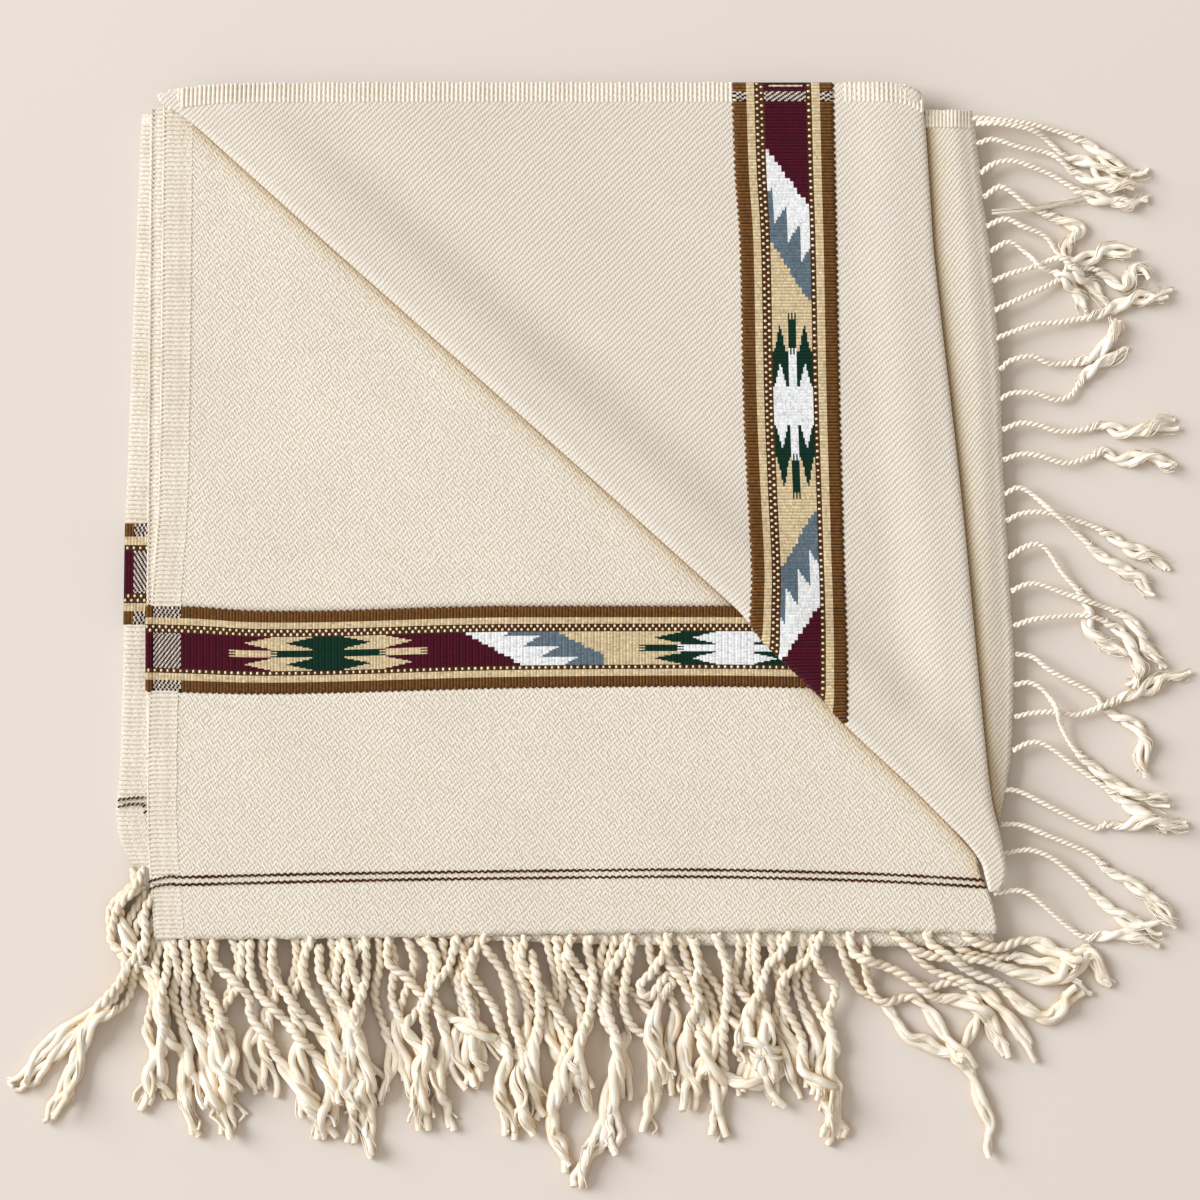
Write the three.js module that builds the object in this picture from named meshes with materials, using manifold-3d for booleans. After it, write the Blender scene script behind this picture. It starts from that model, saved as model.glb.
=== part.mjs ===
// A fringed wool shawl, folded to a near square and lying flat, with the corner of its top ply
// turned over the diagonal. Millimetres, +Z up.
//
// Layout frame, used by every size below: the origin is the lower left corner of the front ply,
// where its selvedge meets its fringed edge. X runs right along the fringed edge, Y runs away from
// it up the selvedge, and Z is the height above the surface. The finished group is then moved so
// that its own origin is the middle of its footprint, on the surface.

import * as THREE from "three";
import { mergeVertices } from "three/addons/utils/BufferGeometryUtils.js";
import Module from "manifold-3d";

const wasm = await Module();
wasm.setup();

// ---------------------------------------------------------------- driving dimensions

const CLOTH = 1.2; // one ply of the wool twill, with its nap
const SEAM_GAP = 0.3; // between one woven stretch and the next
const PLY_RISE = CLOTH + SEAM_GAP; // from the middle of one ply to the middle of the next

const HIDDEN_PLIES = 5; // plies under the three that show at the left side
const HIDDEN_PLY = 1.52; // height that each of them takes up
const HIDDEN_TOP = HIDDEN_PLIES * HIDDEN_PLY;
const HIDDEN_INSET = 2.5; // how far their edges stay back under the back ply
const PLY_ROUND = 0.7; // how far an edge rounds back above and below each hidden ply
const STOPS_SHORT = 0.9; // how far every other one of them stops short of its neighbours
const PLY_SIDE = 530; // side of the folded square
const CORNER_ROUND = 0.012; // corner radius of the hidden plies, as a share of that side

const BACK_Z = HIDDEN_TOP + SEAM_GAP + CLOTH / 2; // heights of the middles of the plies
const SECOND_Z = BACK_Z + PLY_RISE;
const FRONT_Z = SECOND_Z + PLY_RISE;
const UNDER_Z = FRONT_Z + PLY_RISE; // the flap's own ply where it turns under at a fold
const FLAP_Z = UNDER_Z + PLY_RISE; // the flap where it lies flattest

const FLAP_UNDER_LEG = 26; // hidden length of cloth behind the diagonal fold
const FLAP_RETURN_LEG = 18; // hidden length of cloth behind the fold at the right
const FOLD_REACH = 68; // from the diagonal fold to where its roll has settled
const CREST_AT = 19; // from the diagonal fold to the crest of its roll
const RIGHT_RIDGE = 2.9; // height of the soft ridge over the right fold
const RIGHT_RIDGE_REACH = 34; // how far the ridge takes to settle past the return leg
const LEG_SHARE = 0.3; // the most of the flap's own width that either hidden leg takes
const LEFT_TURN_SHARE = 0.18; // and the most that the turn of either fold takes
const RIGHT_TURN_SHARE = 0.16;
const RIGHT_TURN = 2;
const LEFT_TURN_STEPS = 6; // facets round the diagonal fold, across the top, round the right fold
const TOP_STEPS = 12;
const RIGHT_TURN_STEPS = 4;
const TOP_DROOP = 3; // how far the flap's top margin sinks past the stack
const TOP_DROOP_FROM = 521;
const TOP_DROOP_OVER = 13;

const END_TUCK = 26; // how far the flap's fringed end reaches in under the right fold
const END_DROP_FROM = 4.5; // it starts to sink this far outside the stack
const END_DROP = 0.5; // how far it sinks for each millimetre past that
const END_DROP_MOST = 5.4;

const CORD_RADIUS = 2.3; // a two-ply twisted fringe cord, to the corners of its section
const LOCK_SWELL = 1.35; // how much a cord swells where its end comes untwisted
const TIP_TAPER = 0.45;
const CORD_STEPS = 6;
const CORD_PITCH = 15; // from cord to cord along the bottom edge
const BACKING = 2; // width of the strip that the cords are rooted in
const ROOT_DEPTH = 1; // how far a cord reaches into it
const FIRST_LEAVING = 6; // a cord leaves its edge square for this far
const FLOOR_CLEARANCE = 0.3;
const ARCH_FROM = 25; // a cord at the right stays up for this far, and is down after ARCH_TO
const ARCH_TO = 95;
const LOW_CORD_Z = 2.6; // height of a cord that lies on the surface
const HIGH_CORD_Z = 8.6; // height of a cord that lies over another
const CROSS_FROM = 12; // a front cord reaches that height between these distances from its root
const CROSS_TO = 40;

// Smooth curve through rows of [place, value].
function profile(rows) {
  const slope = (i) => {
    const a = rows[Math.max(i - 1, 0)];
    const b = rows[Math.min(i + 1, rows.length - 1)];
    return (b[1] - a[1]) / (b[0] - a[0]);
  };
  return (at) => {
    const place = Math.min(Math.max(at, rows[0][0]), rows[rows.length - 1][0]);
    let i = 0;
    while (i < rows.length - 2 && place > rows[i + 1][0]) i += 1;
    const span = rows[i + 1][0] - rows[i][0];
    const t = (place - rows[i][0]) / span;
    const t2 = t * t;
    const t3 = t2 * t;
    return (
      rows[i][1] * (2 * t3 - 3 * t2 + 1) +
      rows[i + 1][1] * (3 * t2 - 2 * t3) +
      slope(i) * span * (t3 - 2 * t2 + t) +
      slope(i + 1) * span * (t3 - t2)
    );
  };
}

const lerp = THREE.MathUtils.lerp;
// 0 before from, 1 past to, and smooth between. from may be the larger.
function ease(from, to, at) {
  return THREE.MathUtils.smoothstep((at - from) / (to - from), 0, 1);
}

// Each ply's four edges. left and right give X at a height Y, bottom and top give Y at a place X.
const FRONT = {
  left: profile([[0, 0], [75, -4.4], [205, -2], [275, 2.5], [524, 5.6]]),
  right: profile([
    [0, 526], [15, 524.3], [27, 521], [45, 514], [120, 513.5], [300, 510], [420, 502], [524, 491],
  ]),
  bottom: profile([[0, -1.5], [130, -0.5], [240, 1.9], [400, 3.6], [500, 2.4], [526, 0]]),
  top: profile([[0, 523], [40, 518], [492, 517]]),
};
const SECOND = {
  left: profile([[0, 4], [75, -2], [150, -5], [275, -4.4], [521, -2.5]]),
  right: (y) => FRONT.right(y) - 1,
  bottom: (x) => Math.max(FRONT.bottom(x), BACK.bottom(x)) + 2,
  top: profile([[0, 519], [40, 516], [492, 515.5]]),
};
const BACK = {
  left: profile([[45, -15], [64, -23], [83, -24.8], [99, -22.9], [174, -20.3], [274, -18.4], [516, -8.8]]),
  right: (y) => FRONT.right(y) - 2,
  bottom: profile([[-24, 54], [-12, 44], [20, 26], [60, 12], [120, 3], [200, -2], [300, -5], [524, -6]]),
  top: profile([[-10, 515], [40, 515], [492, 514]]),
};

// Woven borders: where each band starts and ends, across the ply that it is woven into.
const FRONT_BAND = {
  lower: profile([[0, 155], [60, 153.4], [110, 154], [215, 156.9], [340, 158], [420, 157]]),
  upper: profile([[0, 207], [28, 206], [60, 203.8], [110, 203.8], [180, 206], [215, 206.7]]),
};
const BACK_BAND = { lower: () => 196.3, upper: () => 258.7 };
const FLAP_BAND = {
  left: profile([
    [100, 369], [192, 371.5], [230, 372.5], [330, 368], [436, 365.6], [480, 362.5], [560, 360],
  ]),
  right: profile([[100, 430.6], [174, 430.6], [236, 429], [330, 426.3], [430, 424.4], [560, 421.5]]),
};

// The turned flap. foldX gives the diagonal fold and rollX the fold at its right side.
const FLAP = {
  foldX: profile([
    [28.5, 521], [37, 518.7], [48, 515.4], [61, 505.8], [77, 490], [96, 471], [135, 429.4],
    [153, 413.5], [183, 382], [207, 361.9], [525.6, 5.6], [536, 1],
  ]),
  rollX: profile([
    [28.5, 525.5], [41, 530.4], [64, 526.5], [86, 521.3], [124, 516.9], [274, 502.5], [424, 485.6],
    [461, 483], [505, 480], [533, 477.5],
  ]),
  top: profile([[0, 526], [9, 529], [52, 533.1], [358, 533.8], [452, 533.8], [470, 531.5], [478, 527]]),
  crest: profile([
    [28.5, 1.6], [60, 3.2], [100, 5], [150, 6], [207, 6.6], [300, 8], [400, 7.8], [470, 6.5],
    [505, 4], [525, 1.6], [534, 0.5],
  ]),
};
const FLAP_TOP = 533.8;
const FLAP_TOP_CURVE = 34; // the rows this near the top edge bend to its curve
// Heights of the rows that the flap is worked out on, closer where it bends more.
const FLAP_ROWS = [
  29.5, 34, 40, 47, 55, 64, 75, 88, 104, 122, 142, 164, 188, 216, 248, 284, 322, 362, 402, 438,
  468, 493, 511, 520, 527, 531, FLAP_TOP,
];

// The flap's fringed end, which shows as a strip past the right fold.
const END = {
  edge: profile([
    [28, 521.5], [48, 527], [66, 526.3], [80, 528.8], [108, 533.8], [138, 535.6], [177, 536.3],
    [218, 533.8], [299, 529.4], [355, 527.5], [424, 521.9], [468, 516.3], [502, 512.5], [517, 510],
  ]),
  bottom: 45,
  top: 517,
  steps: 26,
};

// Fringe. Each row is one lock: how many cords run to it, the middle of its tips, and the room
// from one tip to the next.
const RIGHT_LOCKS = [
  { cords: 4, tipX: 618, tipY: 470, spread: 10 },
  { cords: 3, tipX: 588, tipY: 429, spread: 9 },
  { cords: 3, tipX: 626, tipY: 402, spread: 9 },
  { cords: 2, tipX: 606, tipY: 366, spread: 12 },
  { cords: 1, tipX: 637, tipY: 322, spread: 0 },
  { cords: 1, tipX: 640, tipY: 296, spread: 0 },
  { cords: 2, tipX: 628, tipY: 223, spread: 16 },
  { cords: 3, tipX: 622, tipY: 172, spread: 10 },
  { cords: 2, tipX: 634, tipY: 110, spread: 22 },
  { cords: 3, tipX: 640, tipY: 72, spread: 11 },
  { cords: 3, tipX: 630, tipY: 1, spread: 11 },
];
const FRONT_LOCKS = [
  { cords: 3, tipX: -2, tipY: -100, spread: 9 },
  { cords: 3, tipX: 36, tipY: -116, spread: 9 },
  { cords: 2, tipX: 82, tipY: -100, spread: 14 },
  { cords: 4, tipX: 120, tipY: -103, spread: 10 },
  { cords: 2, tipX: 162, tipY: -118, spread: 12 },
  { cords: 4, tipX: 216, tipY: -133, spread: 10 },
  { cords: 3, tipX: 264, tipY: -132, spread: 12 },
  { cords: 2, tipX: 300, tipY: -120, spread: 12 },
  { cords: 2, tipX: 342, tipY: -88, spread: 12 },
  { cords: 3, tipX: 372, tipY: -118, spread: 12 },
  { cords: 2, tipX: 426, tipY: -100, spread: 16 },
  { cords: 2, tipX: 510, tipY: -120, spread: 22 },
  { cords: 2, tipX: 566, tipY: -44, spread: 14 },
  { cords: 1, tipX: 590, tipY: -18, spread: 0 },
];
const BACK_LOCKS = [
  { cords: 2, tipX: -74, tipY: -95, spread: 16 },
  { cords: 3, tipX: -10, tipY: -78, spread: 8 },
  { cords: 3, tipX: 32, tipY: -78, spread: 10 },
  { cords: 4, tipX: 82, tipY: -72, spread: 10 },
  { cords: 3, tipX: 132, tipY: -76, spread: 10 },
  { cords: 4, tipX: 190, tipY: -78, spread: 10 },
  { cords: 3, tipX: 246, tipY: -76, spread: 10 },
  { cords: 3, tipX: 302, tipY: -74, spread: 10 },
  { cords: 3, tipX: 352, tipY: -68, spread: 10 },
  { cords: 4, tipX: 418, tipY: -72, spread: 10 },
  { cords: 2, tipX: 484, tipY: -76, spread: 14 },
  { cords: 2, tipX: 520, tipY: -66, spread: 14 },
];

const wool = new THREE.MeshStandardMaterial({ color: 0xe6dcc6, roughness: 0.9, metalness: 0 });
const borderWeave = new THREE.MeshStandardMaterial({ color: 0x6b4420, roughness: 0.92, metalness: 0 });
const fringeWool = new THREE.MeshStandardMaterial({ color: 0xf1e8d2, roughness: 0.88, metalness: 0 });

// ---------------------------------------------------------------- shapes

function geometryOf(points, triangles) {
  const flat = points.flatMap((p) => [p.x, p.y, p.z]);
  return new THREE.BufferGeometry()
    .setAttribute("position", new THREE.Float32BufferAttribute(flat, 3))
    .setIndex(triangles);
}

// A cloth wall CLOTH thick about the middle surface middle(u, v), with u and v from 0 to 1.
function wall(middle, across, along, thickness = CLOTH) {
  const middles = [];
  for (let j = 0; j <= along; j += 1) {
    for (let i = 0; i <= across; i += 1) middles.push(middle(i / across, j / along));
  }
  const at = (i, j) => j * (across + 1) + i;
  const normalAt = (i, j) => {
    const east = middles[at(Math.min(i + 1, across), j)];
    const west = middles[at(Math.max(i - 1, 0), j)];
    const north = middles[at(i, Math.min(j + 1, along))];
    const south = middles[at(i, Math.max(j - 1, 0))];
    return east.clone().sub(west).cross(north.clone().sub(south)).normalize();
  };
  const face = [];
  const back = [];
  for (let j = 0; j <= along; j += 1) {
    for (let i = 0; i <= across; i += 1) {
      const half = normalAt(i, j).multiplyScalar(thickness / 2);
      face.push(middles[at(i, j)].clone().add(half));
      back.push(middles[at(i, j)].clone().sub(half));
    }
  }
  const under = face.length;
  const triangles = [];
  const quad = (a, b, c, d) => triangles.push(a, b, c, a, c, d);
  for (let j = 0; j < along; j += 1) {
    for (let i = 0; i < across; i += 1) {
      const [a, b, c, d] = [at(i, j), at(i + 1, j), at(i + 1, j + 1), at(i, j + 1)];
      quad(a, b, c, d);
      quad(under + d, under + c, under + b, under + a);
    }
  }
  const rim = (a, b) => quad(b, a, under + a, under + b);
  for (let i = 0; i < across; i += 1) {
    rim(at(i, 0), at(i + 1, 0));
    rim(at(i + 1, along), at(i, along));
  }
  for (let j = 0; j < along; j += 1) {
    rim(at(0, j + 1), at(0, j));
    rim(at(across, j), at(across, j + 1));
  }
  return geometryOf([...face, ...back], triangles);
}

// The point of a ply at the shares u across it and v along it, between two curves of Y.
function plyPoint(ply, lower, upper, u, v) {
  const roughX = lerp(ply.left(PLY_SIDE / 2), ply.right(PLY_SIDE / 2), u);
  const y = lerp(lower(roughX), upper(roughX), v);
  return new THREE.Vector2(lerp(ply.left(y), ply.right(y), u), y);
}

// A flat stretch of a ply, from the curve lower to the curve upper.
function plyStretch(ply, lower, upper, z, across, along) {
  return wall(
    (u, v) => {
      const p = plyPoint(ply, lower, upper, u, v);
      return new THREE.Vector3(p.x, p.y, z);
    },
    across,
    along,
  );
}

// The unit square's outline with round corners, as [u, v] pairs, drawn in all round by an inset.
function roundSquare(inset) {
  const corners = [[1, 0, -90], [1, 1, 0], [0, 1, 90], [0, 0, 180]];
  const stepsPerCorner = 2;
  const stepsPerSide = 7;
  const loop = [];
  corners.forEach(([cu, cv, from], k) => {
    for (let s = 0; s <= stepsPerCorner; s += 1) {
      const angle = THREE.MathUtils.degToRad(from + (90 * s) / stepsPerCorner);
      const u = cu + (cu ? -1 : 1) * CORNER_ROUND + CORNER_ROUND * Math.cos(angle);
      const v = cv + (cv ? -1 : 1) * CORNER_ROUND + CORNER_ROUND * Math.sin(angle);
      loop.push([u, v]);
    }
    const [nu, nv] = corners[(k + 1) % 4];
    const start = loop[loop.length - 1];
    const end = [
      nu === cu ? start[0] : nu + (nu ? -1 : 1) * CORNER_ROUND,
      nv === cv ? start[1] : nv + (nv ? -1 : 1) * CORNER_ROUND,
    ];
    for (let s = 1; s < stepsPerSide; s += 1) {
      loop.push([lerp(start[0], end[0], s / stepsPerSide), lerp(start[1], end[1], s / stepsPerSide)]);
    }
  });
  return loop.map((pair) => pair.map((share) => lerp(inset, 1 - inset, share)));
}

// The hidden plies as one body, flat below, with the edge of each ply rounded.
function hiddenFolds() {
  const rings = [];
  for (let k = 0; k < HIDDEN_PLIES; k += 1) {
    const inset = HIDDEN_INSET + (k % 2 ? STOPS_SHORT : 0);
    const base = k * HIDDEN_PLY;
    if (k === 0) rings.push({ z: 0, inset: inset + PLY_ROUND });
    rings.push({ z: base + HIDDEN_PLY * 0.28, inset });
    rings.push({ z: base + HIDDEN_PLY * 0.72, inset });
    rings.push({ z: base + HIDDEN_PLY, inset: inset + PLY_ROUND });
  }
  const points = [];
  rings.forEach(({ z, inset }) => {
    roundSquare(inset / PLY_SIDE).forEach(([u, v]) => {
      const p = plyPoint(BACK, BACK.bottom, BACK.top, u, v);
      points.push(new THREE.Vector3(p.x, p.y, z));
    });
  });
  const count = points.length / rings.length;
  const triangles = [];
  for (let r = 0; r < rings.length - 1; r += 1) {
    for (let i = 0; i < count; i += 1) {
      const next = (i + 1) % count;
      const [a, b] = [r * count + i, r * count + next];
      triangles.push(a, b, b + count, a, b + count, a + count);
    }
  }
  const middle = plyPoint(BACK, BACK.bottom, BACK.top, 0.5, 0.5);
  const below = points.push(new THREE.Vector3(middle.x, middle.y, 0)) - 1;
  const above = points.push(new THREE.Vector3(middle.x, middle.y, HIDDEN_TOP)) - 1;
  const topRing = (rings.length - 1) * count;
  for (let i = 0; i < count; i += 1) {
    const next = (i + 1) % count;
    triangles.push(below, next, i, above, topRing + i, topRing + next);
  }
  return geometryOf(points, triangles);
}

// One row of the flap at the height y: its middle line from the hidden leg behind the diagonal
// fold, round the fold, over the crest, across, and round the right fold to its hidden return.
function flapRow(y) {
  const foldX = FLAP.foldX(y);
  const rollX = FLAP.rollX(y);
  const span = rollX - foldX;
  const lean = (FLAP.foldX(y + 2) - FLAP.foldX(y - 2)) / 4;
  const slant = Math.sqrt(1 + Math.min(lean * lean, 1.3)); // along the row for 1 mm square to it
  const crest = FLAP.crest(y);
  const underLeg = Math.min(FLAP_UNDER_LEG * slant, span * LEG_SHARE);
  const returnLeg = Math.min(FLAP_RETURN_LEG, span * LEG_SHARE);
  const topZ = (x) => {
    const fromFold = (x - foldX) / slant;
    const fromRoll = rollX - x;
    const roll = crest * (1 - ease(CREST_AT, FOLD_REACH, fromFold));
    const settled = ease(returnLeg + RIGHT_TURN, returnLeg + RIGHT_RIDGE_REACH, fromRoll);
    return FLAP_Z + roll + RIGHT_RIDGE * (1 - settled) * (1 - roll / (crest + RIGHT_RIDGE));
  };
  const leftTurn = Math.min(crest * slant, span * LEFT_TURN_SHARE);
  const rightTurn = Math.min(RIGHT_TURN, span * RIGHT_TURN_SHARE);
  const row = [];
  row.push([foldX + underLeg, UNDER_Z], [foldX + lerp(leftTurn, underLeg, 0.6), UNDER_Z]);
  const leftTop = topZ(foldX + leftTurn);
  for (let k = 0; k <= LEFT_TURN_STEPS; k += 1) {
    const angle = (Math.PI * k) / LEFT_TURN_STEPS;
    row.push([
      foldX + leftTurn * (1 - Math.sin(angle)),
      lerp(UNDER_Z, leftTop, (1 - Math.cos(angle)) / 2),
    ]);
  }
  const start = foldX + leftTurn;
  const end = rollX - rightTurn;
  for (let k = 1; k < TOP_STEPS; k += 1) {
    const x = lerp(start, end, (k / TOP_STEPS) ** 1.25);
    row.push([x, topZ(x)]);
  }
  const rightTop = topZ(end);
  for (let k = 0; k <= RIGHT_TURN_STEPS; k += 1) {
    const angle = (Math.PI * k) / RIGHT_TURN_STEPS;
    row.push([end + rightTurn * Math.sin(angle), lerp(rightTop, FLAP_Z, (1 - Math.cos(angle)) / 2)]);
  }
  row.push([end - returnLeg * 0.5, FLAP_Z], [end - returnLeg, FLAP_Z]);
  return row;
}

// The whole turned flap as one wall, before it is parted along its woven border.
function turnedFlap() {
  const rows = FLAP_ROWS.map(flapRow);
  const rowPoints = rows[0].length;
  const middle = (u, v) => {
    const j = Math.round(v * (rows.length - 1));
    const [x, z] = rows[j][Math.round(u * (rowPoints - 1))];
    const nearTop = ease(FLAP_TOP - FLAP_TOP_CURVE, FLAP_TOP, FLAP_ROWS[j]);
    const y = FLAP_ROWS[j] + (FLAP.top(x) - FLAP_TOP) * nearTop;
    const past = Math.max(y - TOP_DROOP_FROM, 0) / TOP_DROOP_OVER;
    return new THREE.Vector3(x, y, z - TOP_DROOP * past * past);
  };
  return wall(middle, rowPoints - 1, rows.length - 1);
}

// A block over the ground between the curves left and right, past the flap all round.
function parting(left, right) {
  const steps = 14;
  const heights = Array.from({ length: steps + 1 }, (_, k) => ((FLAP_TOP + 26) * k) / steps);
  const outline = [
    ...heights.map((y) => new THREE.Vector2(right(y), y)),
    ...heights.reverse().map((y) => new THREE.Vector2(left(y), y)),
  ];
  const depth = FLAP_Z * 3;
  return new THREE.ExtrudeGeometry(new THREE.Shape(outline), { depth, bevelEnabled: false });
}

function solidOf(geometry) {
  const bare = geometry.clone();
  bare.deleteAttribute("normal");
  bare.deleteAttribute("uv");
  const merged = mergeVertices(bare, 1e-4);
  return new wasm.Manifold(
    new wasm.Mesh({
      numProp: 3,
      vertProperties: merged.attributes.position.array,
      triVerts: new Uint32Array(merged.index.array),
    }),
  );
}

function geometryFrom(solid) {
  const mesh = solid.getMesh();
  const count = mesh.vertProperties.length / mesh.numProp;
  const points = [];
  for (let i = 0; i < count; i += 1) {
    const [x, y, z] = mesh.vertProperties.subarray(i * mesh.numProp, i * mesh.numProp + 3);
    points.push(new THREE.Vector3(x, y, z));
  }
  return geometryOf(points, [...mesh.triVerts]);
}

// Height of the flap's fringed end: flat on the front ply, sinking outside the stack.
function endZ(x, y) {
  const from = FRONT.right(y) + END_DROP_FROM;
  const overhang = Math.max(END.edge(y) - from, 1);
  const drop = Math.min(overhang * END_DROP, END_DROP_MOST);
  return UNDER_Z - drop * ease(0, overhang, x - from);
}

function flapEnd() {
  const middle = (u, v) => {
    const y = lerp(END.bottom, END.top, v);
    const edge = END.edge(y);
    const span = FLAP.rollX(y) - FLAP.foldX(y);
    const clearOfFold = FLAP.foldX(y) + span * LEG_SHARE + 2.5;
    const start = Math.min(Math.max(FLAP.rollX(y) - END_TUCK, clearOfFold), edge - 1.5);
    const x = lerp(start, edge, u);
    return new THREE.Vector3(x, y, endZ(x, y));
  };
  return wall(middle, 8, END.steps);
}

// ---------------------------------------------------------------- fringe

// A four-sided strand over the ground points, which swells and then tapers towards its end.
// heightAt(point, distance) gives the height of its middle, distance being measured from its root.
function strand(ground, heightAt, swell) {
  const curve = new THREE.CatmullRomCurve3(ground, false, "centripetal");
  const middles = [];
  let distance = 0;
  for (let k = 0; k <= CORD_STEPS; k += 1) {
    const middle = curve.getPoint(k / CORD_STEPS);
    if (k > 0) distance += Math.hypot(middle.x - middles[k - 1].x, middle.y - middles[k - 1].y);
    middle.z = heightAt(middle, distance);
    middles.push(middle);
  }
  const corners = [];
  middles.forEach((middle, k) => {
    const t = k / CORD_STEPS;
    const next = middles[Math.min(k + 1, CORD_STEPS)];
    const ahead = next.clone().sub(middles[Math.max(k - 1, 0)]).normalize();
    const side = new THREE.Vector3(-ahead.y, ahead.x, 0).normalize();
    const up = ahead.clone().cross(side).normalize();
    const swollen = CORD_RADIUS * lerp(1, swell, ease(0.5, 0.8, t));
    const radius = swollen * lerp(1, TIP_TAPER, ease(0.85, 1, t));
    middle.z = Math.max(middle.z, radius + FLOOR_CLEARANCE);
    for (let s = 0; s < 4; s += 1) {
      const angle = (Math.PI / 2) * s;
      const toSide = middle.clone().addScaledVector(side, radius * Math.cos(angle));
      corners.push(toSide.addScaledVector(up, radius * Math.sin(angle)));
    }
  });
  const triangles = [];
  for (let k = 0; k < CORD_STEPS; k += 1) {
    for (let s = 0; s < 4; s += 1) {
      const [a, b] = [k * 4 + s, k * 4 + ((s + 1) % 4)];
      triangles.push(a, b, b + 4, a, b + 4, a + 4);
    }
  }
  const last = CORD_STEPS * 4;
  triangles.push(0, 2, 1, 0, 3, 2, last, last + 1, last + 2, last, last + 2, last + 3);
  return geometryOf(corners, triangles);
}

// The tips of a row of locks, one for each cord, in order along the edge. step is the direction
// in which the cords follow each other.
function tipsOf(locks, step) {
  return locks.flatMap(({ cords, tipX, tipY, spread }) =>
    Array.from({ length: cords }, (_, i) => {
      const off = (i - (cords - 1) / 2) * spread;
      return new THREE.Vector2(tipX + step.x * off, tipY + step.y * off);
    }),
  );
}

// Cords rooted in a backing strip. rootOf(i) gives a cord's root, and out the way that it leaves.
function fringe(backing, tips, rootOf, out, heightAt, swell) {
  let made = solidOf(backing);
  tips.forEach((tip, i) => {
    const root = rootOf(i);
    const reach = new THREE.Vector2(tip.x - root.x, tip.y - root.y);
    const outward = Math.max(reach.dot(out), FIRST_LEAVING * 2);
    const sideways = reach.clone().addScaledVector(out, -reach.dot(out));
    const place = (outBy, shareSide) =>
      new THREE.Vector3(
        root.x + out.x * outBy + sideways.x * shareSide,
        root.y + out.y * outBy + sideways.y * shareSide,
        0,
      );
    const ground = [
      place(-ROOT_DEPTH, 0),
      place(FIRST_LEAVING, 0.02),
      place(Math.max(outward * 0.3, FIRST_LEAVING * 2), 0.1),
      place(Math.max(outward * 0.62, FIRST_LEAVING * 3), 0.6),
      place(reach.dot(out), 1),
    ];
    made = made.add(solidOf(strand(ground, (p, distance) => heightAt(p, distance, root.z), swell)));
  });
  return geometryFrom(made);
}

function rightFringe() {
  const firstRoot = 512;
  const lastRoot = 48;
  const backingZ = (y) => endZ(END.edge(y), y);
  const backing = wall(
    (u, v) => {
      const y = lerp(END.bottom, END.top, v);
      const x = END.edge(y) + SEAM_GAP + u * BACKING;
      return new THREE.Vector3(x, y, backingZ(y));
    },
    1,
    END.steps,
  );
  const tips = tipsOf(RIGHT_LOCKS, new THREE.Vector2(0, -1));
  const rootOf = (i) => {
    const y = lerp(firstRoot, lastRoot, i / (tips.length - 1));
    return new THREE.Vector3(END.edge(y) + SEAM_GAP + BACKING, y, backingZ(y));
  };
  const heightAt = (p, distance, rootZ) =>
    lerp(rootZ, LOW_CORD_Z, ease(ARCH_FROM, ARCH_TO, distance));
  return fringe(backing, tips, rootOf, new THREE.Vector2(1, 0), heightAt, LOCK_SWELL);
}

// Cords of an edge at the bottom, laid at the height given by heightAt.
function lowerFringe(ply, z, firstRoot, locks, heightAt, swell) {
  const tips = tipsOf(locks, new THREE.Vector2(1, 0));
  const width = (tips.length - 1) * CORD_PITCH;
  const backing = wall(
    (u, v) => {
      const x = firstRoot + lerp(-CORD_RADIUS, width + CORD_RADIUS, u);
      return new THREE.Vector3(x, ply.bottom(x) - SEAM_GAP - (1 - v) * BACKING, z);
    },
    20,
    1,
  );
  const rootOf = (i) => {
    const x = firstRoot + i * CORD_PITCH;
    return new THREE.Vector3(x, ply.bottom(x) - SEAM_GAP - BACKING, z);
  };
  return fringe(backing, tips, rootOf, new THREE.Vector2(0, -1), heightAt, swell);
}

// The front cords lie over the back ones, and come down to the surface past their tips, which lie
// at about Y -80 and, in the last lock, X 530.
function frontCordZ(p, distance, rootZ) {
  const overBack = lerp(rootZ, HIGH_CORD_Z, ease(CROSS_FROM, CROSS_TO, distance));
  const pastBack = Math.max(ease(-88, -112, p.y), ease(540, 566, p.x));
  return lerp(overBack, LOW_CORD_Z, pastBack);
}

function backCordZ(p, distance, rootZ) {
  return lerp(rootZ, LOW_CORD_Z, ease(0, CROSS_FROM, distance));
}

// ---------------------------------------------------------------- the shawl

const shawl = new THREE.Group();

function addNode(name, geometry, material) {
  const mesh = new THREE.Mesh(geometry, material);
  mesh.name = name;
  shawl.add(mesh);
}

// The hem below a ply's woven border, the border, and the field above it.
function addBorderedPly(name, ply, band, z, [across, hemRows, bandRows, fieldRows]) {
  const hemTop = (x) => band.lower(x) - SEAM_GAP;
  const fieldBottom = (x) => band.upper(x) + SEAM_GAP;
  const hem = plyStretch(ply, ply.bottom, hemTop, z, across, hemRows);
  const border = plyStretch(ply, band.lower, band.upper, z, across, bandRows);
  const field = plyStretch(ply, fieldBottom, ply.top, z, across, fieldRows);
  addNode(`${name}_hem`, hem, wool);
  addNode(`${name}_border`, border, borderWeave);
  addNode(`${name}_field`, field, wool);
}

addNode("hidden_folds", hiddenFolds(), wool);
addBorderedPly("back", BACK, BACK_BAND, BACK_Z, [12, 5, 3, 6]);
addNode("second_ply", plyStretch(SECOND, SECOND.bottom, SECOND.top, SECOND_Z, 12, 10), wool);
addBorderedPly("front", FRONT, FRONT_BAND, FRONT_Z, [18, 5, 2, 8]);

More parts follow.
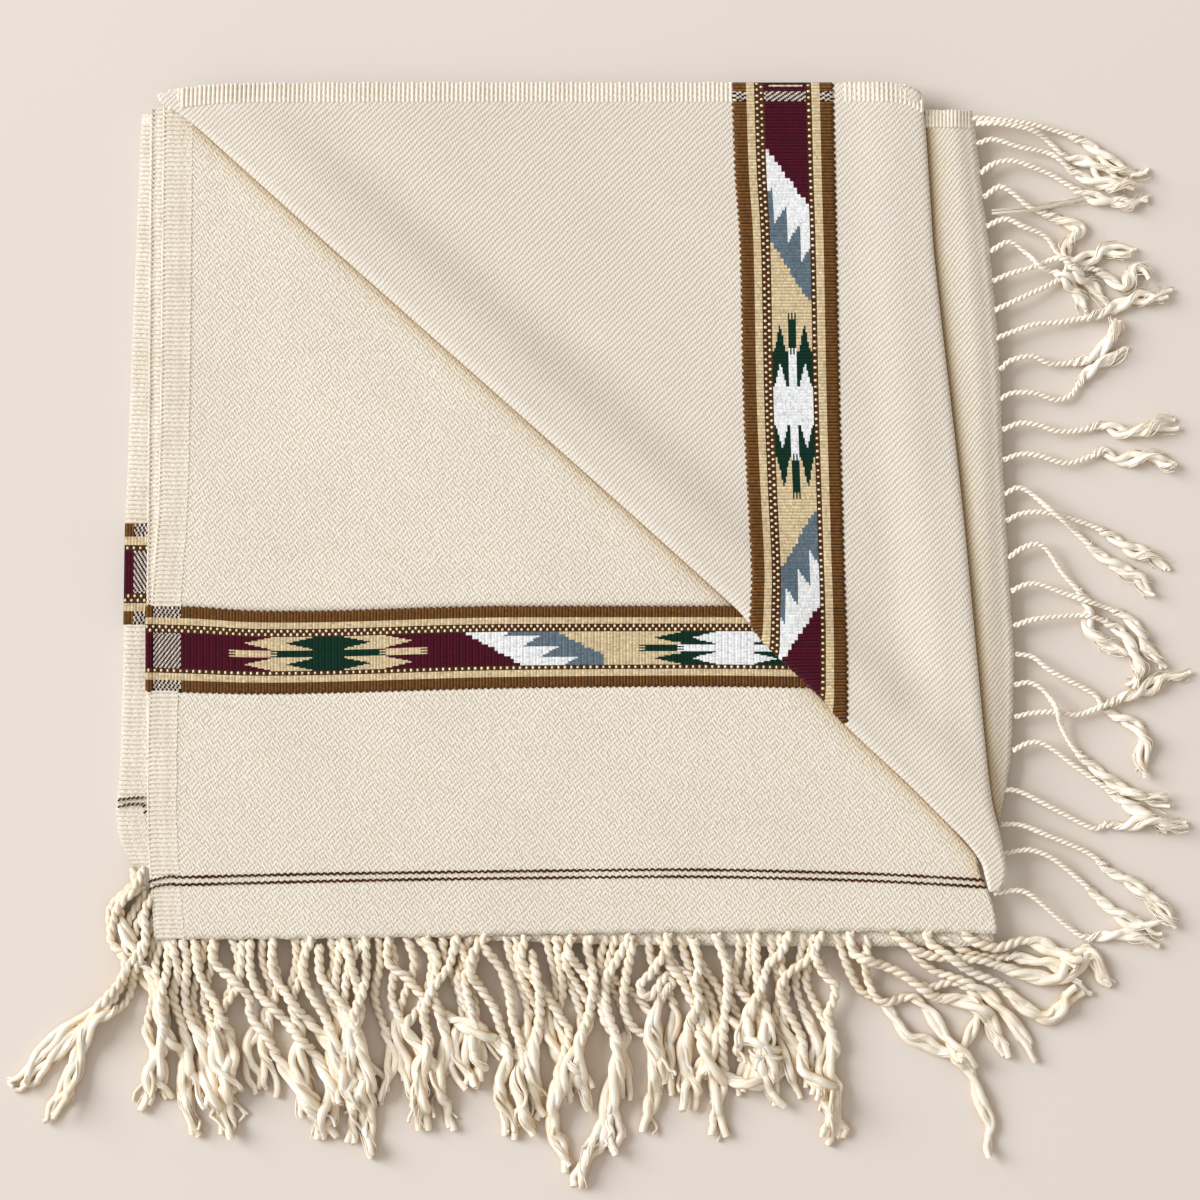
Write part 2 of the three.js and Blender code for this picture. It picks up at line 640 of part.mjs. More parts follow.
const flap = solidOf(turnedFlap());
const half = SEAM_GAP / 2;
const leftOfBand = parting(() => -60, (y) => FLAP_BAND.left(y) - half);
const onBand = parting((y) => FLAP_BAND.left(y) + half, (y) => FLAP_BAND.right(y) - half);
const rightOfBand = parting((y) => FLAP_BAND.right(y) + half, () => PLY_SIDE + 60);
addNode("flap_field", geometryFrom(flap.intersect(solidOf(leftOfBand))), wool);
addNode("flap_border", geometryFrom(flap.intersect(solidOf(onBand))), borderWeave);
addNode("flap_side", geometryFrom(flap.intersect(solidOf(rightOfBand))), wool);
addNode("flap_end", flapEnd(), wool);

addNode("fringe_right", rightFringe(), fringeWool);
addNode(
  "fringe_front",
  lowerFringe(FRONT, FRONT_Z, 8, FRONT_LOCKS, frontCordZ, LOCK_SWELL),
  fringeWool,
);
addNode(
  "fringe_back",
  lowerFringe(BACK, BACK_Z, -14.5, BACK_LOCKS, backCordZ, 1),
  fringeWool,
);

// The group's own origin is the middle of its footprint, on the surface.
const bounds = new THREE.Box3().setFromObject(shawl);
const footprint = bounds.getCenter(new THREE.Vector3());
shawl.position.set(-footprint.x, -footprint.y, -bounds.min.z);

export default shawl;
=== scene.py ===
# %% [markdown]
# # A folded wool shawl
# The shawl is one length of cream twill with a woven band near each end and a twisted fringe. It
# lies folded to a square, and the corner of its top ply is turned over the diagonal. The packed
# model gives the frame: every piece below is made where its CAD node is, in metres.

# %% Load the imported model
import math

import bmesh
import bpy
import numpy as np
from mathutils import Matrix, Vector


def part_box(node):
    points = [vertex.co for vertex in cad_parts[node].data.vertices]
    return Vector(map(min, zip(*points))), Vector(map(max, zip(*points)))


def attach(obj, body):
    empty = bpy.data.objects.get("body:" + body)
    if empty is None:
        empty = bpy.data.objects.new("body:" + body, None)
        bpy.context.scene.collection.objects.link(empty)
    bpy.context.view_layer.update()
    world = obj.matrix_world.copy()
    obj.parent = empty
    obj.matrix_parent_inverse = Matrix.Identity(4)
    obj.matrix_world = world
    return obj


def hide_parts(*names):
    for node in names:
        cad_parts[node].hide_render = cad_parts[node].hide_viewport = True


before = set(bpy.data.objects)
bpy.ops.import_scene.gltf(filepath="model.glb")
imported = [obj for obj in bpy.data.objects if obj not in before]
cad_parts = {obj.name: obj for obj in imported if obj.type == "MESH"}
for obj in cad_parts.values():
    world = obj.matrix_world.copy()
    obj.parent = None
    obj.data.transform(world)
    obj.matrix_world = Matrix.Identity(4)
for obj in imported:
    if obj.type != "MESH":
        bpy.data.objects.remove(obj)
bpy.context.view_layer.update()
print("CAD nodes:", sorted(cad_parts))

# %% [markdown]
# ## Sizes and the layout
# Sizes are in millimetres in a layout frame, whose origin is the front ply's lower left corner.
# X runs along the fringed edge and Y up the selvedge. A folded cloth is easiest to plan on squared
# paper, so the fringe and a few marks are placed in squares of 0.625 mm, counted right and down
# from the paper's own corner. The box of two nodes gives the move from the layout to the model.

# %% Layout frame
MM = 0.001
SQUARE = 0.625  # a square of the layout paper
CLOTH = 1.2  # thickness of the cloth
HIDDEN_PLIES, HIDDEN_PLY = 5, 1.52  # how many, and the height of each
# Heights of the middle surfaces of the plies that show; UNDER_Z is the flap's leg under its fold.
BACK_Z, SECOND_Z, FRONT_Z, UNDER_Z, FLAP_Z = 8.5, 10.0, 11.5, 13.0, 14.5
SHIFT = np.array([
    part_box("front_hem")[1].x / MM - 526,
    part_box("back_border")[1].y / MM - 258.7,
    0.0,
])


def squares(*pairs):
    """Layout points, in millimetres, of squares counted right and down on the paper."""
    paper = np.array(pairs, float)
    return np.stack([paper[:, 0] * SQUARE - 97.5, 586.25 - paper[:, 1] * SQUARE], axis=1)


def model(points):
    """Layout millimetres to metres in the model's frame."""
    return (np.asarray(points, float) + SHIFT) * MM


def ease(start, end, at):
    """A smooth step from 0 at the start to 1 at the end."""
    share = np.clip((at - start) / (end - start), 0, 1)
    return share * share * (3 - 2 * share)


def mix(a, b, share):
    """Between a and b, by a share from 0 to 1."""
    return a + (b - a) * share


print("layout origin in the model:", [round(float(v), 2) for v in SHIFT], "mm")

# %% [markdown]
# ## Smooth curves
# A folded edge bows gently. A Hermite curve passes through each given place and takes its slope
# there from the places on either side, so a few rows are enough.

# %% Curves through given places
def hermite(a, b, slope_a, slope_b, t):
    """The cubic from a to b that leaves and arrives with the given slopes."""
    return (
        a * (2 * t**3 - 3 * t**2 + 1) + b * (3 * t**2 - 2 * t**3)
        + slope_a * (t**3 - 2 * t**2 + t) + slope_b * (t**3 - t**2)
    )


def profile(rows):
    """A smooth curve through rows of (place, value), level past its ends."""
    places, values = np.array(rows, float).T
    last = len(rows) - 1
    index = np.arange(last + 1)
    after, before = np.minimum(index + 1, last), np.maximum(index - 1, 0)
    slopes = (values[after] - values[before]) / (places[after] - places[before])

    def at(place):
        place = np.clip(place, places[0], places[-1])
        i = np.clip(np.searchsorted(places, place, side="right") - 1, 0, last - 1)
        span = places[i + 1] - places[i]
        t = (place - places[i]) / span
        return hermite(values[i], values[i + 1], slopes[i] * span, slopes[i + 1] * span, t)

    return at


print("halfway up from 0 to 10:", float(profile([(0, 0), (1, 10)])(0.5)))

# %% [markdown]
# ## The plies' edges
# Folded plies never lie exactly on each other: each has its own slightly bowed edges. Each edge is
# a smooth curve through a few measured places, the same curves as the solids have, so that the
# cloth stays where its solid is.

# %% Edges of the plies, the bands and the flap
FRONT = {
    "left": profile([(0, 0), (75, -4.4), (205, -2), (275, 2.5), (524, 5.6)]),
    "right": profile([(0, 526), (15, 524.3), (27, 521), (45, 514), (120, 513.5), (300, 510),
                      (420, 502), (524, 491)]),
    "bottom": profile([(0, -1.5), (130, -0.5), (240, 1.9), (400, 3.6), (500, 2.4), (526, 0)]),
    "top": profile([(0, 523), (40, 518), (492, 517)]),
}
BACK = {
    "left": profile([(45, -15), (64, -23), (83, -24.8), (99, -22.9), (174, -20.3), (274, -18.4),
                     (516, -8.8)]),
    "right": lambda y: FRONT["right"](y) - 2,
    "bottom": profile([(-24, 54), (-12, 44), (20, 26), (60, 12), (120, 3), (200, -2), (300, -5),
                       (524, -6)]),
    "top": profile([(-10, 515), (40, 515), (492, 514)]),
}
SECOND = {
    "left": profile([(0, 4), (75, -2), (150, -5), (275, -4.4), (521, -2.5)]),
    "right": lambda y: FRONT["right"](y) - 1,
    "bottom": lambda x: np.maximum(FRONT["bottom"](x), BACK["bottom"](x)) + 2,
    "top": profile([(0, 519), (40, 516), (492, 515.5)]),
}
FRONT_BAND = {
    "lower": profile([(0, 155), (60, 153.4), (110, 154), (215, 156.9), (340, 158), (420, 157)]),
    "upper": profile([(0, 207), (28, 206), (60, 203.8), (110, 203.8), (180, 206), (215, 206.7)]),
}
BACK_BAND = {"lower": lambda x: 196.3 + 0 * x, "upper": lambda x: 258.7 + 0 * x}
FLAP_BAND = {
    "left": profile([(100, 369), (192, 371.5), (230, 372.5), (330, 368), (436, 365.6),
                     (480, 362.5), (560, 360)]),
    "right": profile([(100, 430.6), (174, 430.6), (236, 429), (330, 426.3), (430, 424.4),
                      (560, 421.5)]),
}
FLAP = {
    "fold": profile([(28.5, 521), (37, 518.7), (48, 515.4), (61, 505.8), (77, 490), (96, 471),
                     (135, 429.4), (153, 413.5), (183, 382), (207, 361.9), (525.6, 5.6), (536, 1)]),
    "roll": profile([(28.5, 525.5), (41, 530.4), (64, 526.5), (86, 521.3), (124, 516.9),
                     (274, 502.5), (424, 485.6), (461, 483), (505, 480), (533, 477.5)]),
    "top": profile([(0, 526), (9, 529), (52, 533.1), (358, 533.8), (452, 533.8), (470, 531.5),
                    (478, 527)]),
    "crest": profile([(28.5, 1.6), (60, 3.2), (100, 5), (150, 6), (207, 6.6), (300, 8), (400, 7.8),
                      (470, 6.5), (505, 4), (525, 1.6), (534, 0.5)]),
}
FLAP_TOP = 533.8
END_EDGE = profile([(28, 521.5), (48, 527), (66, 526.3), (80, 528.8), (108, 533.8), (138, 535.6),
                    (177, 536.3), (218, 533.8), (299, 529.4), (355, 527.5), (424, 521.9),
                    (468, 516.3), (502, 512.5), (517, 510)])
width = float(FRONT["right"](265) - FRONT["left"](265))
print("front ply at mid height:", round(width, 1), "mm wide")

# %% [markdown]
# ## Meshes from grids
# Most of this shawl is sheets. A sheet is planned as a grid of points on its middle surface, and
# gets its thickness by moving the grid out both ways along its normals and closing the rim. That
# is what a Solidify modifier does, but here the grid stays at hand, so that ribs, stripes and the
# fringe can be laid on the very same surface.

# %% Sheets and solids from grids of points
def placed(name, data):
    """A new object in the scene, at the origin."""
    made = bpy.data.objects.new(name, data)
    bpy.context.scene.collection.objects.link(made)
    return made


def mesh_object(name, points, faces, material):
    """A mesh piece from layout points in millimetres."""
    mesh = bpy.data.meshes.new(name)
    mesh.from_pydata(model(points).tolist(), [], faces)
    mesh.materials.append(material)
    mesh.polygons.foreach_set("use_smooth", [True] * len(mesh.polygons))
    mesh.update()
    return placed(name, mesh)


def grid_faces(rows, columns, start=0, turned=False):
    """Faces of a grid of points numbered along its rows, seen from its outer side."""
    corner = (np.arange(rows - 1)[:, None] * columns + np.arange(columns - 1)[None, :]).ravel()
    quads = np.stack([corner, corner + 1, corner + columns + 1, corner + columns], axis=1) + start
    return quads[:, ::-1] if turned else quads


def normals_of(grid):
    """Unit normals of a grid of points, rows running along +Y and columns along +X."""
    east = np.gradient(grid, axis=1)
    north = np.gradient(grid, axis=0)
    out = np.cross(east, north)
    return out / np.maximum(np.linalg.norm(out, axis=2, keepdims=True), 1e-9)


def sheet_parts(grid, thickness=CLOTH):
    """Points and faces of a closed sheet about a grid of points."""
    rows, columns = grid.shape[:2]
    out = normals_of(grid)
    face, under = grid + out * thickness / 2, grid - out * thickness / 2
    count = rows * columns
    ring = np.concatenate([
        np.arange(columns), np.arange(1, rows) * columns + columns - 1,
        (rows - 1) * columns + np.arange(columns - 2, -1, -1), np.arange(rows - 2, 0, -1) * columns,
    ])
    after = np.roll(ring, -1)
    rim = np.stack([after, ring, ring + count, after + count], axis=1)
    faces = np.concatenate([
        grid_faces(rows, columns), grid_faces(rows, columns, count, turned=True), rim,
    ])
    return np.concatenate([face.reshape(-1, 3), under.reshape(-1, 3)]), faces


def joined(parts):
    """Several (points, faces) as one."""
    starts = np.cumsum([0] + [len(points) for points, _ in parts[:-1]])
    return (
        np.concatenate([points for points, _ in parts]),
        np.concatenate([faces + start for (_, faces), start in zip(parts, starts)]).tolist(),
    )


flat_square = np.stack([*np.meshgrid([0.0, 1.0], [0.0, 1.0]), np.zeros((2, 2))], axis=2)
print("a sheet of one square has", len(sheet_parts(flat_square)[1]), "faces")

# %% [markdown]
# ## Plies as grids
# A ply is a grid between its own four edges. All plies share one gentle unevenness, so that they
# lie on each other without a gap.

# %% Grids of the plies
def waves(x, y):
    """The slight unevenness of cloth that was folded by hand, shared by all plies."""
    return (
        0.30 * np.sin(x / 41 + y / 95) + 0.26 * np.sin(y / 34 - x / 120 + 1.3)
        + 0.12 * np.sin(x / 15 + y / 52 + 0.6)
    )


def ply_grid(ply, lower, upper, z, across, along, bottom_scallop=0.0):
    """A ply's middle surface between two curves of Y. The fringed edge draws up between cords."""
    u = np.linspace(0, 1, across)[None, :] + np.zeros((along, 1))
    v = np.linspace(0, 1, along)[:, None] + np.zeros((1, across))
    rough = mix(ply["left"](265.0), ply["right"](265.0), u)
    low = lower(rough) + bottom_scallop * np.abs(np.sin((rough - 8) * math.pi / 15))
    y = mix(low, upper(rough), v)
    x = mix(ply["left"](y), ply["right"](y), u)
    return np.stack([x, y, z + waves(x, y)], axis=2)


def cloth_area(*grids):
    """Area of grids of points, in square metres."""
    total = 0.0
    for grid in grids:
        sides = np.cross(np.diff(grid, axis=1)[:-1], np.diff(grid, axis=0)[:, :-1])
        total += np.linalg.norm(sides, axis=2).sum() * MM * MM
    return float(total)


plain_grid = ply_grid(FRONT, FRONT["bottom"], FRONT["top"], FRONT_Z, 20, 20)
print("front ply, hem to top:", round(cloth_area(plain_grid), 3), "square metres")

# %% [markdown]
# ## Finishes
# All of it is sheep's wool, which is matt and scatters light softly, so each finish is rough with
# some sheen and gets its look from its weave. One function turns sRGB hex colours into the linear
# ones that the shader needs, and one adds a node with its settings and links.

# %% Colours and nodes
def linear(hex_colour):
    """Linear red, green, blue and alpha of an sRGB hex colour."""
    parts = [int(hex_colour[i:i + 2], 16) / 255 for i in (1, 3, 5)]
    return [c / 12.92 if c <= 0.04045 else ((c + 0.055) / 1.055) ** 2.4 for c in parts] + [1.0]


def add(tree, kind, links=None, **settings):
    """Adds a node with its settings. links gives each input a value, a node or a socket."""
    made = tree.nodes.new(kind)
    for name, value in settings.items():
        setattr(made, name, value)
    for name, value in (links or {}).items():
        socket = made.inputs[name] if isinstance(name, int) else next(
            s for s in made.inputs if s.name == name and s.enabled)
        if isinstance(value, bpy.types.Node):
            value = next(s for s in value.outputs if s.enabled)
        if isinstance(value, bpy.types.NodeSocket):
            tree.links.new(value, socket)
        else:
            socket.default_value = value
    return made


def matt(name, roughness, sheen):
    """A new matt finish: its material, node tree and shader."""
    material = bpy.data.materials.new(name)
    material.use_nodes = True
    tree = material.node_tree
    shader = tree.nodes["Principled BSDF"]
    shader.inputs["Roughness"].default_value = roughness
    shader.inputs["Specular IOR Level"].default_value = 0.2
    shader.inputs["Sheen Weight"].default_value = sheen
    shader.inputs["Sheen Roughness"].default_value = 0.6
    return material, tree, shader


print("undyed wool, linear:", [round(part, 3) for part in linear("#F4F1E9")[:3]])

# %% [markdown]
# ## The twill
# Twill is a weave whose yarns step over each other by one place a row, which draws diagonal lines.
# On the front ply the lines change direction in patches (a broken twill), 2.6 mm apart. On the
# turned flap the cloth's other face shows bolder lines, 2.7 mm apart. Each is made of Wave
# textures: one for the diagonal, a finer one across it that breaks each line into yarns, and for
# the broken twill a second diagonal with a soft noise that picks between them. The same pattern
# drives the colour and the bump. Single yarns of the cloth are 0.9 mm thick, too fine to show, so
# the waves that stand for them are 1.7 mm apart. Where a ply runs in under a fold, light bounces
# from wool to wool and comes out brown and dim; this shade is painted into the colour, by a ramp
# on the distance from the fold.

# %% Lines of a weave, and painted shade beside a fold
# Scales of the noises, each one over its size in metres: patches of 3.3 mm in the broken twill, a
# grain of 1.4 mm, and a slow drift of tone over 70 mm.
PATCHES, GRAIN, CLOUDS = 300.0, 700.0, 14.0


def wave(tree, place, pitch_mm, degrees, distortion, seed):
    """Lines of a pitch in millimetres, at an angle on the cloth, as a value from 0 to 1."""
    turned = add(tree, "ShaderNodeMapping", {
        "Vector": place, "Rotation": (0, 0, math.radians(-degrees)),
        "Location": (seed * 0.013, seed * 0.007, 0)})
    return add(tree, "ShaderNodeTexWave", {
        "Vector": turned, "Scale": 2 * math.pi / (20 * pitch_mm * MM), "Distortion": distortion,
        "Detail": 1.5, "Detail Scale": 0.6}, bands_direction="Y").outputs["Fac"]


def painted_fold_shade(tree, place, line, side, shade_colours):
    """Painted shade: a ramp that darkens and warms cloth where it runs in under a fold along a plan
    line.
    """
    wide, high, lowest = 600, 540, 29  # the curve's own width and height, and where the fold starts
    first, last = model([[0, 0, 0], [wide, high, 0]])
    at = add(tree, "ShaderNodeSeparateXYZ", {0: place})
    height = add(tree, "ShaderNodeMapRange", {
        "Value": at.outputs[1], "From Min": float(first[1]), "From Max": float(last[1])})
    course = add(tree, "ShaderNodeFloatCurve", {"Value": height})
    curve = course.mapping.curves[0]
    curve.points[0].location, curve.points[1].location = (0, 1), (1, float(line(high)) / wide)
    for y in (28.0, 30.0, *np.arange(50.0, 531.0, 20.0)):
        curve.points.new(y / high, 1.0 if y < lowest else float(line(y)) / wide)
    for point in curve.points:
        point.handle_type = "VECTOR"
    course.mapping.update()
    line_at = add(tree, "ShaderNodeMapRange", {
        "Value": course, "To Min": float(first[0]), "To Max": float(last[0])})
    away = add(tree, "ShaderNodeMath", {0: at.outputs[0], 1: line_at}, operation="SUBTRACT")
    share = add(tree, "ShaderNodeMapRange", {
        "Value": away, "From Min": 0.0, "From Max": side * 20 * MM})
    ramp = add(tree, "ShaderNodeValToRGB", {"Fac": share}).outputs["Color"]
    elements = ramp.node.color_ramp.elements
    elements[0].color, elements[1].color = linear(shade_colours[0][1]), linear("#FFFFFF")
    for spot, tint in shade_colours[1:]:
        elements.new(spot).color = linear(tint)
    return ramp


print("patches of broken twill:", round(1 / PATCHES / MM, 1), "mm")

# %% [markdown]
# The four twills differ in angle, pitch, contrast and shade, so one function makes them all.

# %% Twill finishes
def twill(name, angle, pitch, broken, light, dark, depth, yarn_share, spread, painted_shade=None):
    """Twill with lines at an angle and a pitch. depth is the bump's, yarn_share how much single
    yarns show, and spread how far the pattern's values lie apart: a small one is more contrast."""
    material, tree, shader = matt(name, 0.92, 0.01)
    place = add(tree, "ShaderNodeTexCoord").outputs["Object"]
    lines = wave(tree, place, pitch, angle, 3.4, 1)
    if broken:
        other = wave(tree, place, pitch, -angle, 3.4, 2)
        patches = add(tree, "ShaderNodeTexNoise", {
            "Vector": place, "Scale": PATCHES, "Detail": 3.0, "Roughness": 0.7})
        picked = add(tree, "ShaderNodeMapRange", {
            "Value": patches.outputs["Fac"], "From Min": 0.44, "From Max": 0.56})
        lines = add(tree, "ShaderNodeMix", {
            0: picked, 2: lines, 3: other}, data_type="FLOAT").outputs[0]
    yarns = wave(tree, place, 1.7, angle + 68, 3.5, 3)
    weave = add(tree, "ShaderNodeMath", {
        0: yarns, 1: yarn_share, 2: lines}, operation="MULTIPLY_ADD")
    grain = add(tree, "ShaderNodeTexNoise", {
        "Vector": place, "Scale": GRAIN, "Detail": 2.0, "Roughness": 0.8})
    speck = add(tree, "ShaderNodeMath", {
        0: grain.outputs["Fac"], 1: 1.5, 2: weave}, operation="MULTIPLY_ADD")
    tone = add(tree, "ShaderNodeMapRange", {
        "Value": speck, "From Min": 1.42 - spread, "From Max": 1.42 + spread})
    cloudy = add(tree, "ShaderNodeTexNoise", {
        "Vector": place, "Scale": CLOUDS, "Detail": 3.0, "Roughness": 0.55})
    colour = add(tree, "ShaderNodeMix", {
        0: tone, 6: linear(dark), 7: linear(light)}, data_type="RGBA")
    drift = add(tree, "ShaderNodeMapRange", {
        "Value": cloudy.outputs["Fac"], "From Min": 0.3, "From Max": 0.7,
        "To Min": 0.97, "To Max": 1.02})
    shaded = add(tree, "ShaderNodeVectorMath", {
        0: colour.outputs[2], 1: drift}, operation="MULTIPLY")
    # Painted shade beside a fold, multiplied into the colour.
    if painted_shade:
        shaded = add(tree, "ShaderNodeVectorMath", {
            0: shaded, 1: painted_fold_shade(tree, place, *painted_shade)}, operation="MULTIPLY")
    tree.links.new(shaded.outputs[0], shader.inputs["Base Color"])
    bump = add(tree, "ShaderNodeBump", {"Strength": 0.8, "Distance": depth * MM, "Height": speck})
    tree.links.new(bump.outputs["Normal"], shader.inputs["Normal"])
    return material


# The cloth's inner face: a broken twill, so its sheen is even and its grain is soft.
BROKEN = (45, 2.6, True, "#F4F1E9", "#CBBFA6", 0.27, 0.6, 0.66)
broken_twill = twill("Wool_broken_twill", *BROKEN)
# The same face beside the diagonal fold, where the fold's shade is painted into it in warm brown.
FRONT_SHADE = ((0.0, "#86694A"), (0.05, "#BBA384"), (0.12, "#E6DAC8"), (0.4, "#F9F5EE"))
front_twill = twill("Wool_broken_twill_front_painted_shade", *BROKEN, (FLAP["fold"], -1, FRONT_SHADE))
# The cloth's outer face, which shows on the turned flap: bold lines that rise to the right.
bold_twill = twill("Wool_bold_twill", 44, 2.7, False, "#EEEAE2", "#C8BFAE", 0.24, 0.5, 0.72)
# The same face on the strip past the fold at the right, with painted shade where it comes out from
# under it.
STRIP_SHADE = ((0.0, "#846C4A"), (0.06, "#A8926F"), (0.16, "#DCD1BC"), (0.4, "#F8F4EC"))
strip_twill = twill(
    "Wool_bold_twill_strip_painted_shade", 50, 2.4, False, "#FCF9F1", "#D2C8B5", 0.26, 0.4, 0.66,
    (FLAP["roll"], 1, STRIP_SHADE))
print("twills:", [finish.name for finish in (broken_twill, front_twill, bold_twill, strip_twill)])

# %% [markdown]
# ## Spun yarn
# The fringe is loosely spun, so its fibres lie in fine streaks. An image of wool would need a flat
# layout for every cord, so a noise stretched along each ply draws the streaks instead.

# %% Yarn finishes
# Scales: a streak of fibres is 4 mm long and a third of a ply's radius wide, and the tone drifts
# over 17 mm of a cord.
STREAKS, STREAK_WIDTH, CORD_CLOUDS = 260.0, 3.4, 60.0


def spun(name, light, dark, sheen, fibre_depth, flank_shade=None):
    """Spun wool yarn. Its fibres run along the ply, by the ply's own attributes."""
    material, tree, shader = matt(name, 0.88, sheen)
    around = add(tree, "ShaderNodeAttribute", attribute_name="around")
    along = add(tree, "ShaderNodeAttribute", attribute_name="along")
    lengthwise = add(tree, "ShaderNodeCombineXYZ", {2: add(tree, "ShaderNodeMath", {
        0: along.outputs["Fac"], 1: STREAKS}, operation="MULTIPLY")})
    on_ply = add(tree, "ShaderNodeVectorMath", {
        0: around.outputs["Vector"], 1: (STREAK_WIDTH, STREAK_WIDTH, 0.0), 2: lengthwise},
        operation="MULTIPLY_ADD")
    fibres = add(tree, "ShaderNodeTexNoise", {
        "Vector": on_ply, "Scale": 1.0, "Detail": 3.0, "Roughness": 0.75})
    place = add(tree, "ShaderNodeTexCoord").outputs["Object"]
    cloudy = add(tree, "ShaderNodeTexNoise", {"Vector": place, "Scale": CORD_CLOUDS, "Detail": 2.0})
    both = add(tree, "ShaderNodeMath", {
        0: cloudy.outputs["Fac"], 1: 0.25, 2: fibres.outputs["Fac"]}, operation="MULTIPLY_ADD")
    tone = add(tree, "ShaderNodeMapRange", {"Value": both, "From Min": 0.42, "From Max": 0.72})
    colour = add(tree, "ShaderNodeMix", {
        0: tone, 6: linear(dark), 7: linear(light)}, data_type="RGBA").outputs[2]
    if flank_shade:
        # Painted shade: faces turned sideways or down get a darker, warmer colour, for the shade
        # and the warm light bounced between two plies.
        facing = add(tree, "ShaderNodeSeparateXYZ", {
            0: add(tree, "ShaderNodeTexCoord").outputs["Normal"]})
        upward = add(tree, "ShaderNodeMapRange", {
            "Value": facing.outputs[2], "From Min": -0.3, "From Max": 0.75})
        tint = add(tree, "ShaderNodeMix", {
            0: upward, 6: linear(flank_shade), 7: linear("#FFFFFF")}, data_type="RGBA")
        colour = add(tree, "ShaderNodeVectorMath", {
            0: colour, 1: tint.outputs[2]}, operation="MULTIPLY").outputs[0]
    tree.links.new(colour, shader.inputs["Base Color"])
    bump = add(tree, "ShaderNodeBump", {
        "Strength": 1.0, "Distance": fibre_depth * MM, "Height": fibres.outputs["Fac"]})
    tree.links.new(bump.outputs["Normal"], shader.inputs["Normal"])
    return material


# Handspun undyed wool of the thick cords: cream, with deep streaks between its fibres and painted
# shade on its flanks.
cord_wool = spun("Wool_cord_undyed", "#FFFDF5", "#F2DFBA", 0.02, 0.6, "#E2C490")
# The same wool combed loose: its fibres lie apart, so it scatters more light and is paler; its
# flanks get painted shade too.
loose_wool = spun("Wool_yarn_loose_undyed", "#FFFEF9", "#F8EDD8", 0.02, 0.06, "#EFDCB8")
# Tightly beaten weft of the selvedges: its colour is darker and greyer, painted shade for the gaps
# between its turns.
edge_wool = spun("Wool_selvedge_undyed", "#FCF6EB", "#D8CBB4", 0.02, 0.35)
# Dyed dark brown, for the pinstripes, and a pale tan, for the dots.
dark_yarn = spun("Wool_yarn_dark_brown", "#562A14", "#2C1408", 0.0, 0.35)
bead_yarn = spun("Wool_yarn_pale_tan", "#F5E8CA", "#DCC69A", 0.02, 0.35)

print("yarns:", [finish.name for finish in (
    cord_wool, loose_wool, edge_wool, dark_yarn, bead_yarn)])

# %% [markdown]
# ## The tapestry weave
# The bands are weft-faced: dyed weft is beaten down until it hides the warp. The colour is a face
# attribute that the bands' rules fill in, and a fine noise gives each stitch its own tone.

# %% Dyed weft
STITCHES = 800.0  # scale of the noise: a stitch is 1.2 mm
# Each stitch is a short bulge of matt yarn, so the weave has no gloss and its colours are deep.
tapestry, tree, shader = matt("Wool_tapestry_dyed_weft", 0.95, 0.02)
dyed = add(tree, "ShaderNodeAttribute", attribute_name="yarn")
place = add(tree, "ShaderNodeTexCoord").outputs["Object"]
stitch = add(tree, "ShaderNodeTexNoise", {
    "Vector": place, "Scale": STITCHES, "Detail": 3.0, "Roughness": 0.7})
tone = add(tree, "ShaderNodeMapRange", {
    "Value": stitch.outputs["Fac"], "From Min": 0.3, "From Max": 0.7,
    "To Min": 0.72, "To Max": 1.16})
colour = add(tree, "ShaderNodeVectorMath", {
    0: dyed.outputs["Color"], 1: tone}, operation="MULTIPLY")
tree.links.new(colour.outputs[0], shader.inputs["Base Color"])
bump = add(tree, "ShaderNodeBump", {
    "Strength": 0.5, "Distance": 0.2 * MM, "Height": stitch.outputs["Fac"]})
tree.links.new(bump.outputs["Normal"], shader.inputs["Normal"])
print("tapestry:", len(tree.nodes), "nodes")

# %% [markdown]
# ## The hidden plies
# Five plies lie under the three that show. Only their edges are ever seen, from the side, so they
# are one body: rings of points round the square, drawn in between one ply and the next and let
# out at each ply's middle, with every ply wandering in and out a little in its own way.

# %% Hidden plies
def hidden_rings(inset, ply):
    """Points round the folded square at a distance inside its edge."""
    steps = np.linspace(0, 1, 90, endpoint=False)
    ones, zeros = np.ones_like(steps), np.zeros_like(steps)
    u = np.concatenate([steps, ones, 1 - steps, zeros])
    v = np.concatenate([zeros, steps, ones, 1 - steps])
    corner = np.minimum(np.minimum(u, 1 - u) + np.minimum(v, 1 - v), 0.016)
    round_off = (0.016 - corner) / 0.016 * 0.004
    wander = 0.0007 * np.sin(u * 31 + ply * 2.1) + 0.0006 * np.sin(v * 27 + ply * 1.3)
    draw = inset / 530 + round_off + wander
    u, v = mix(draw, 1 - draw, u), mix(draw, 1 - draw, v)
    rough = mix(BACK["left"](265.0), BACK["right"](265.0), u)
    y = mix(BACK["bottom"](rough), BACK["top"](rough), v)
    return mix(BACK["left"](y), BACK["right"](y), u), y


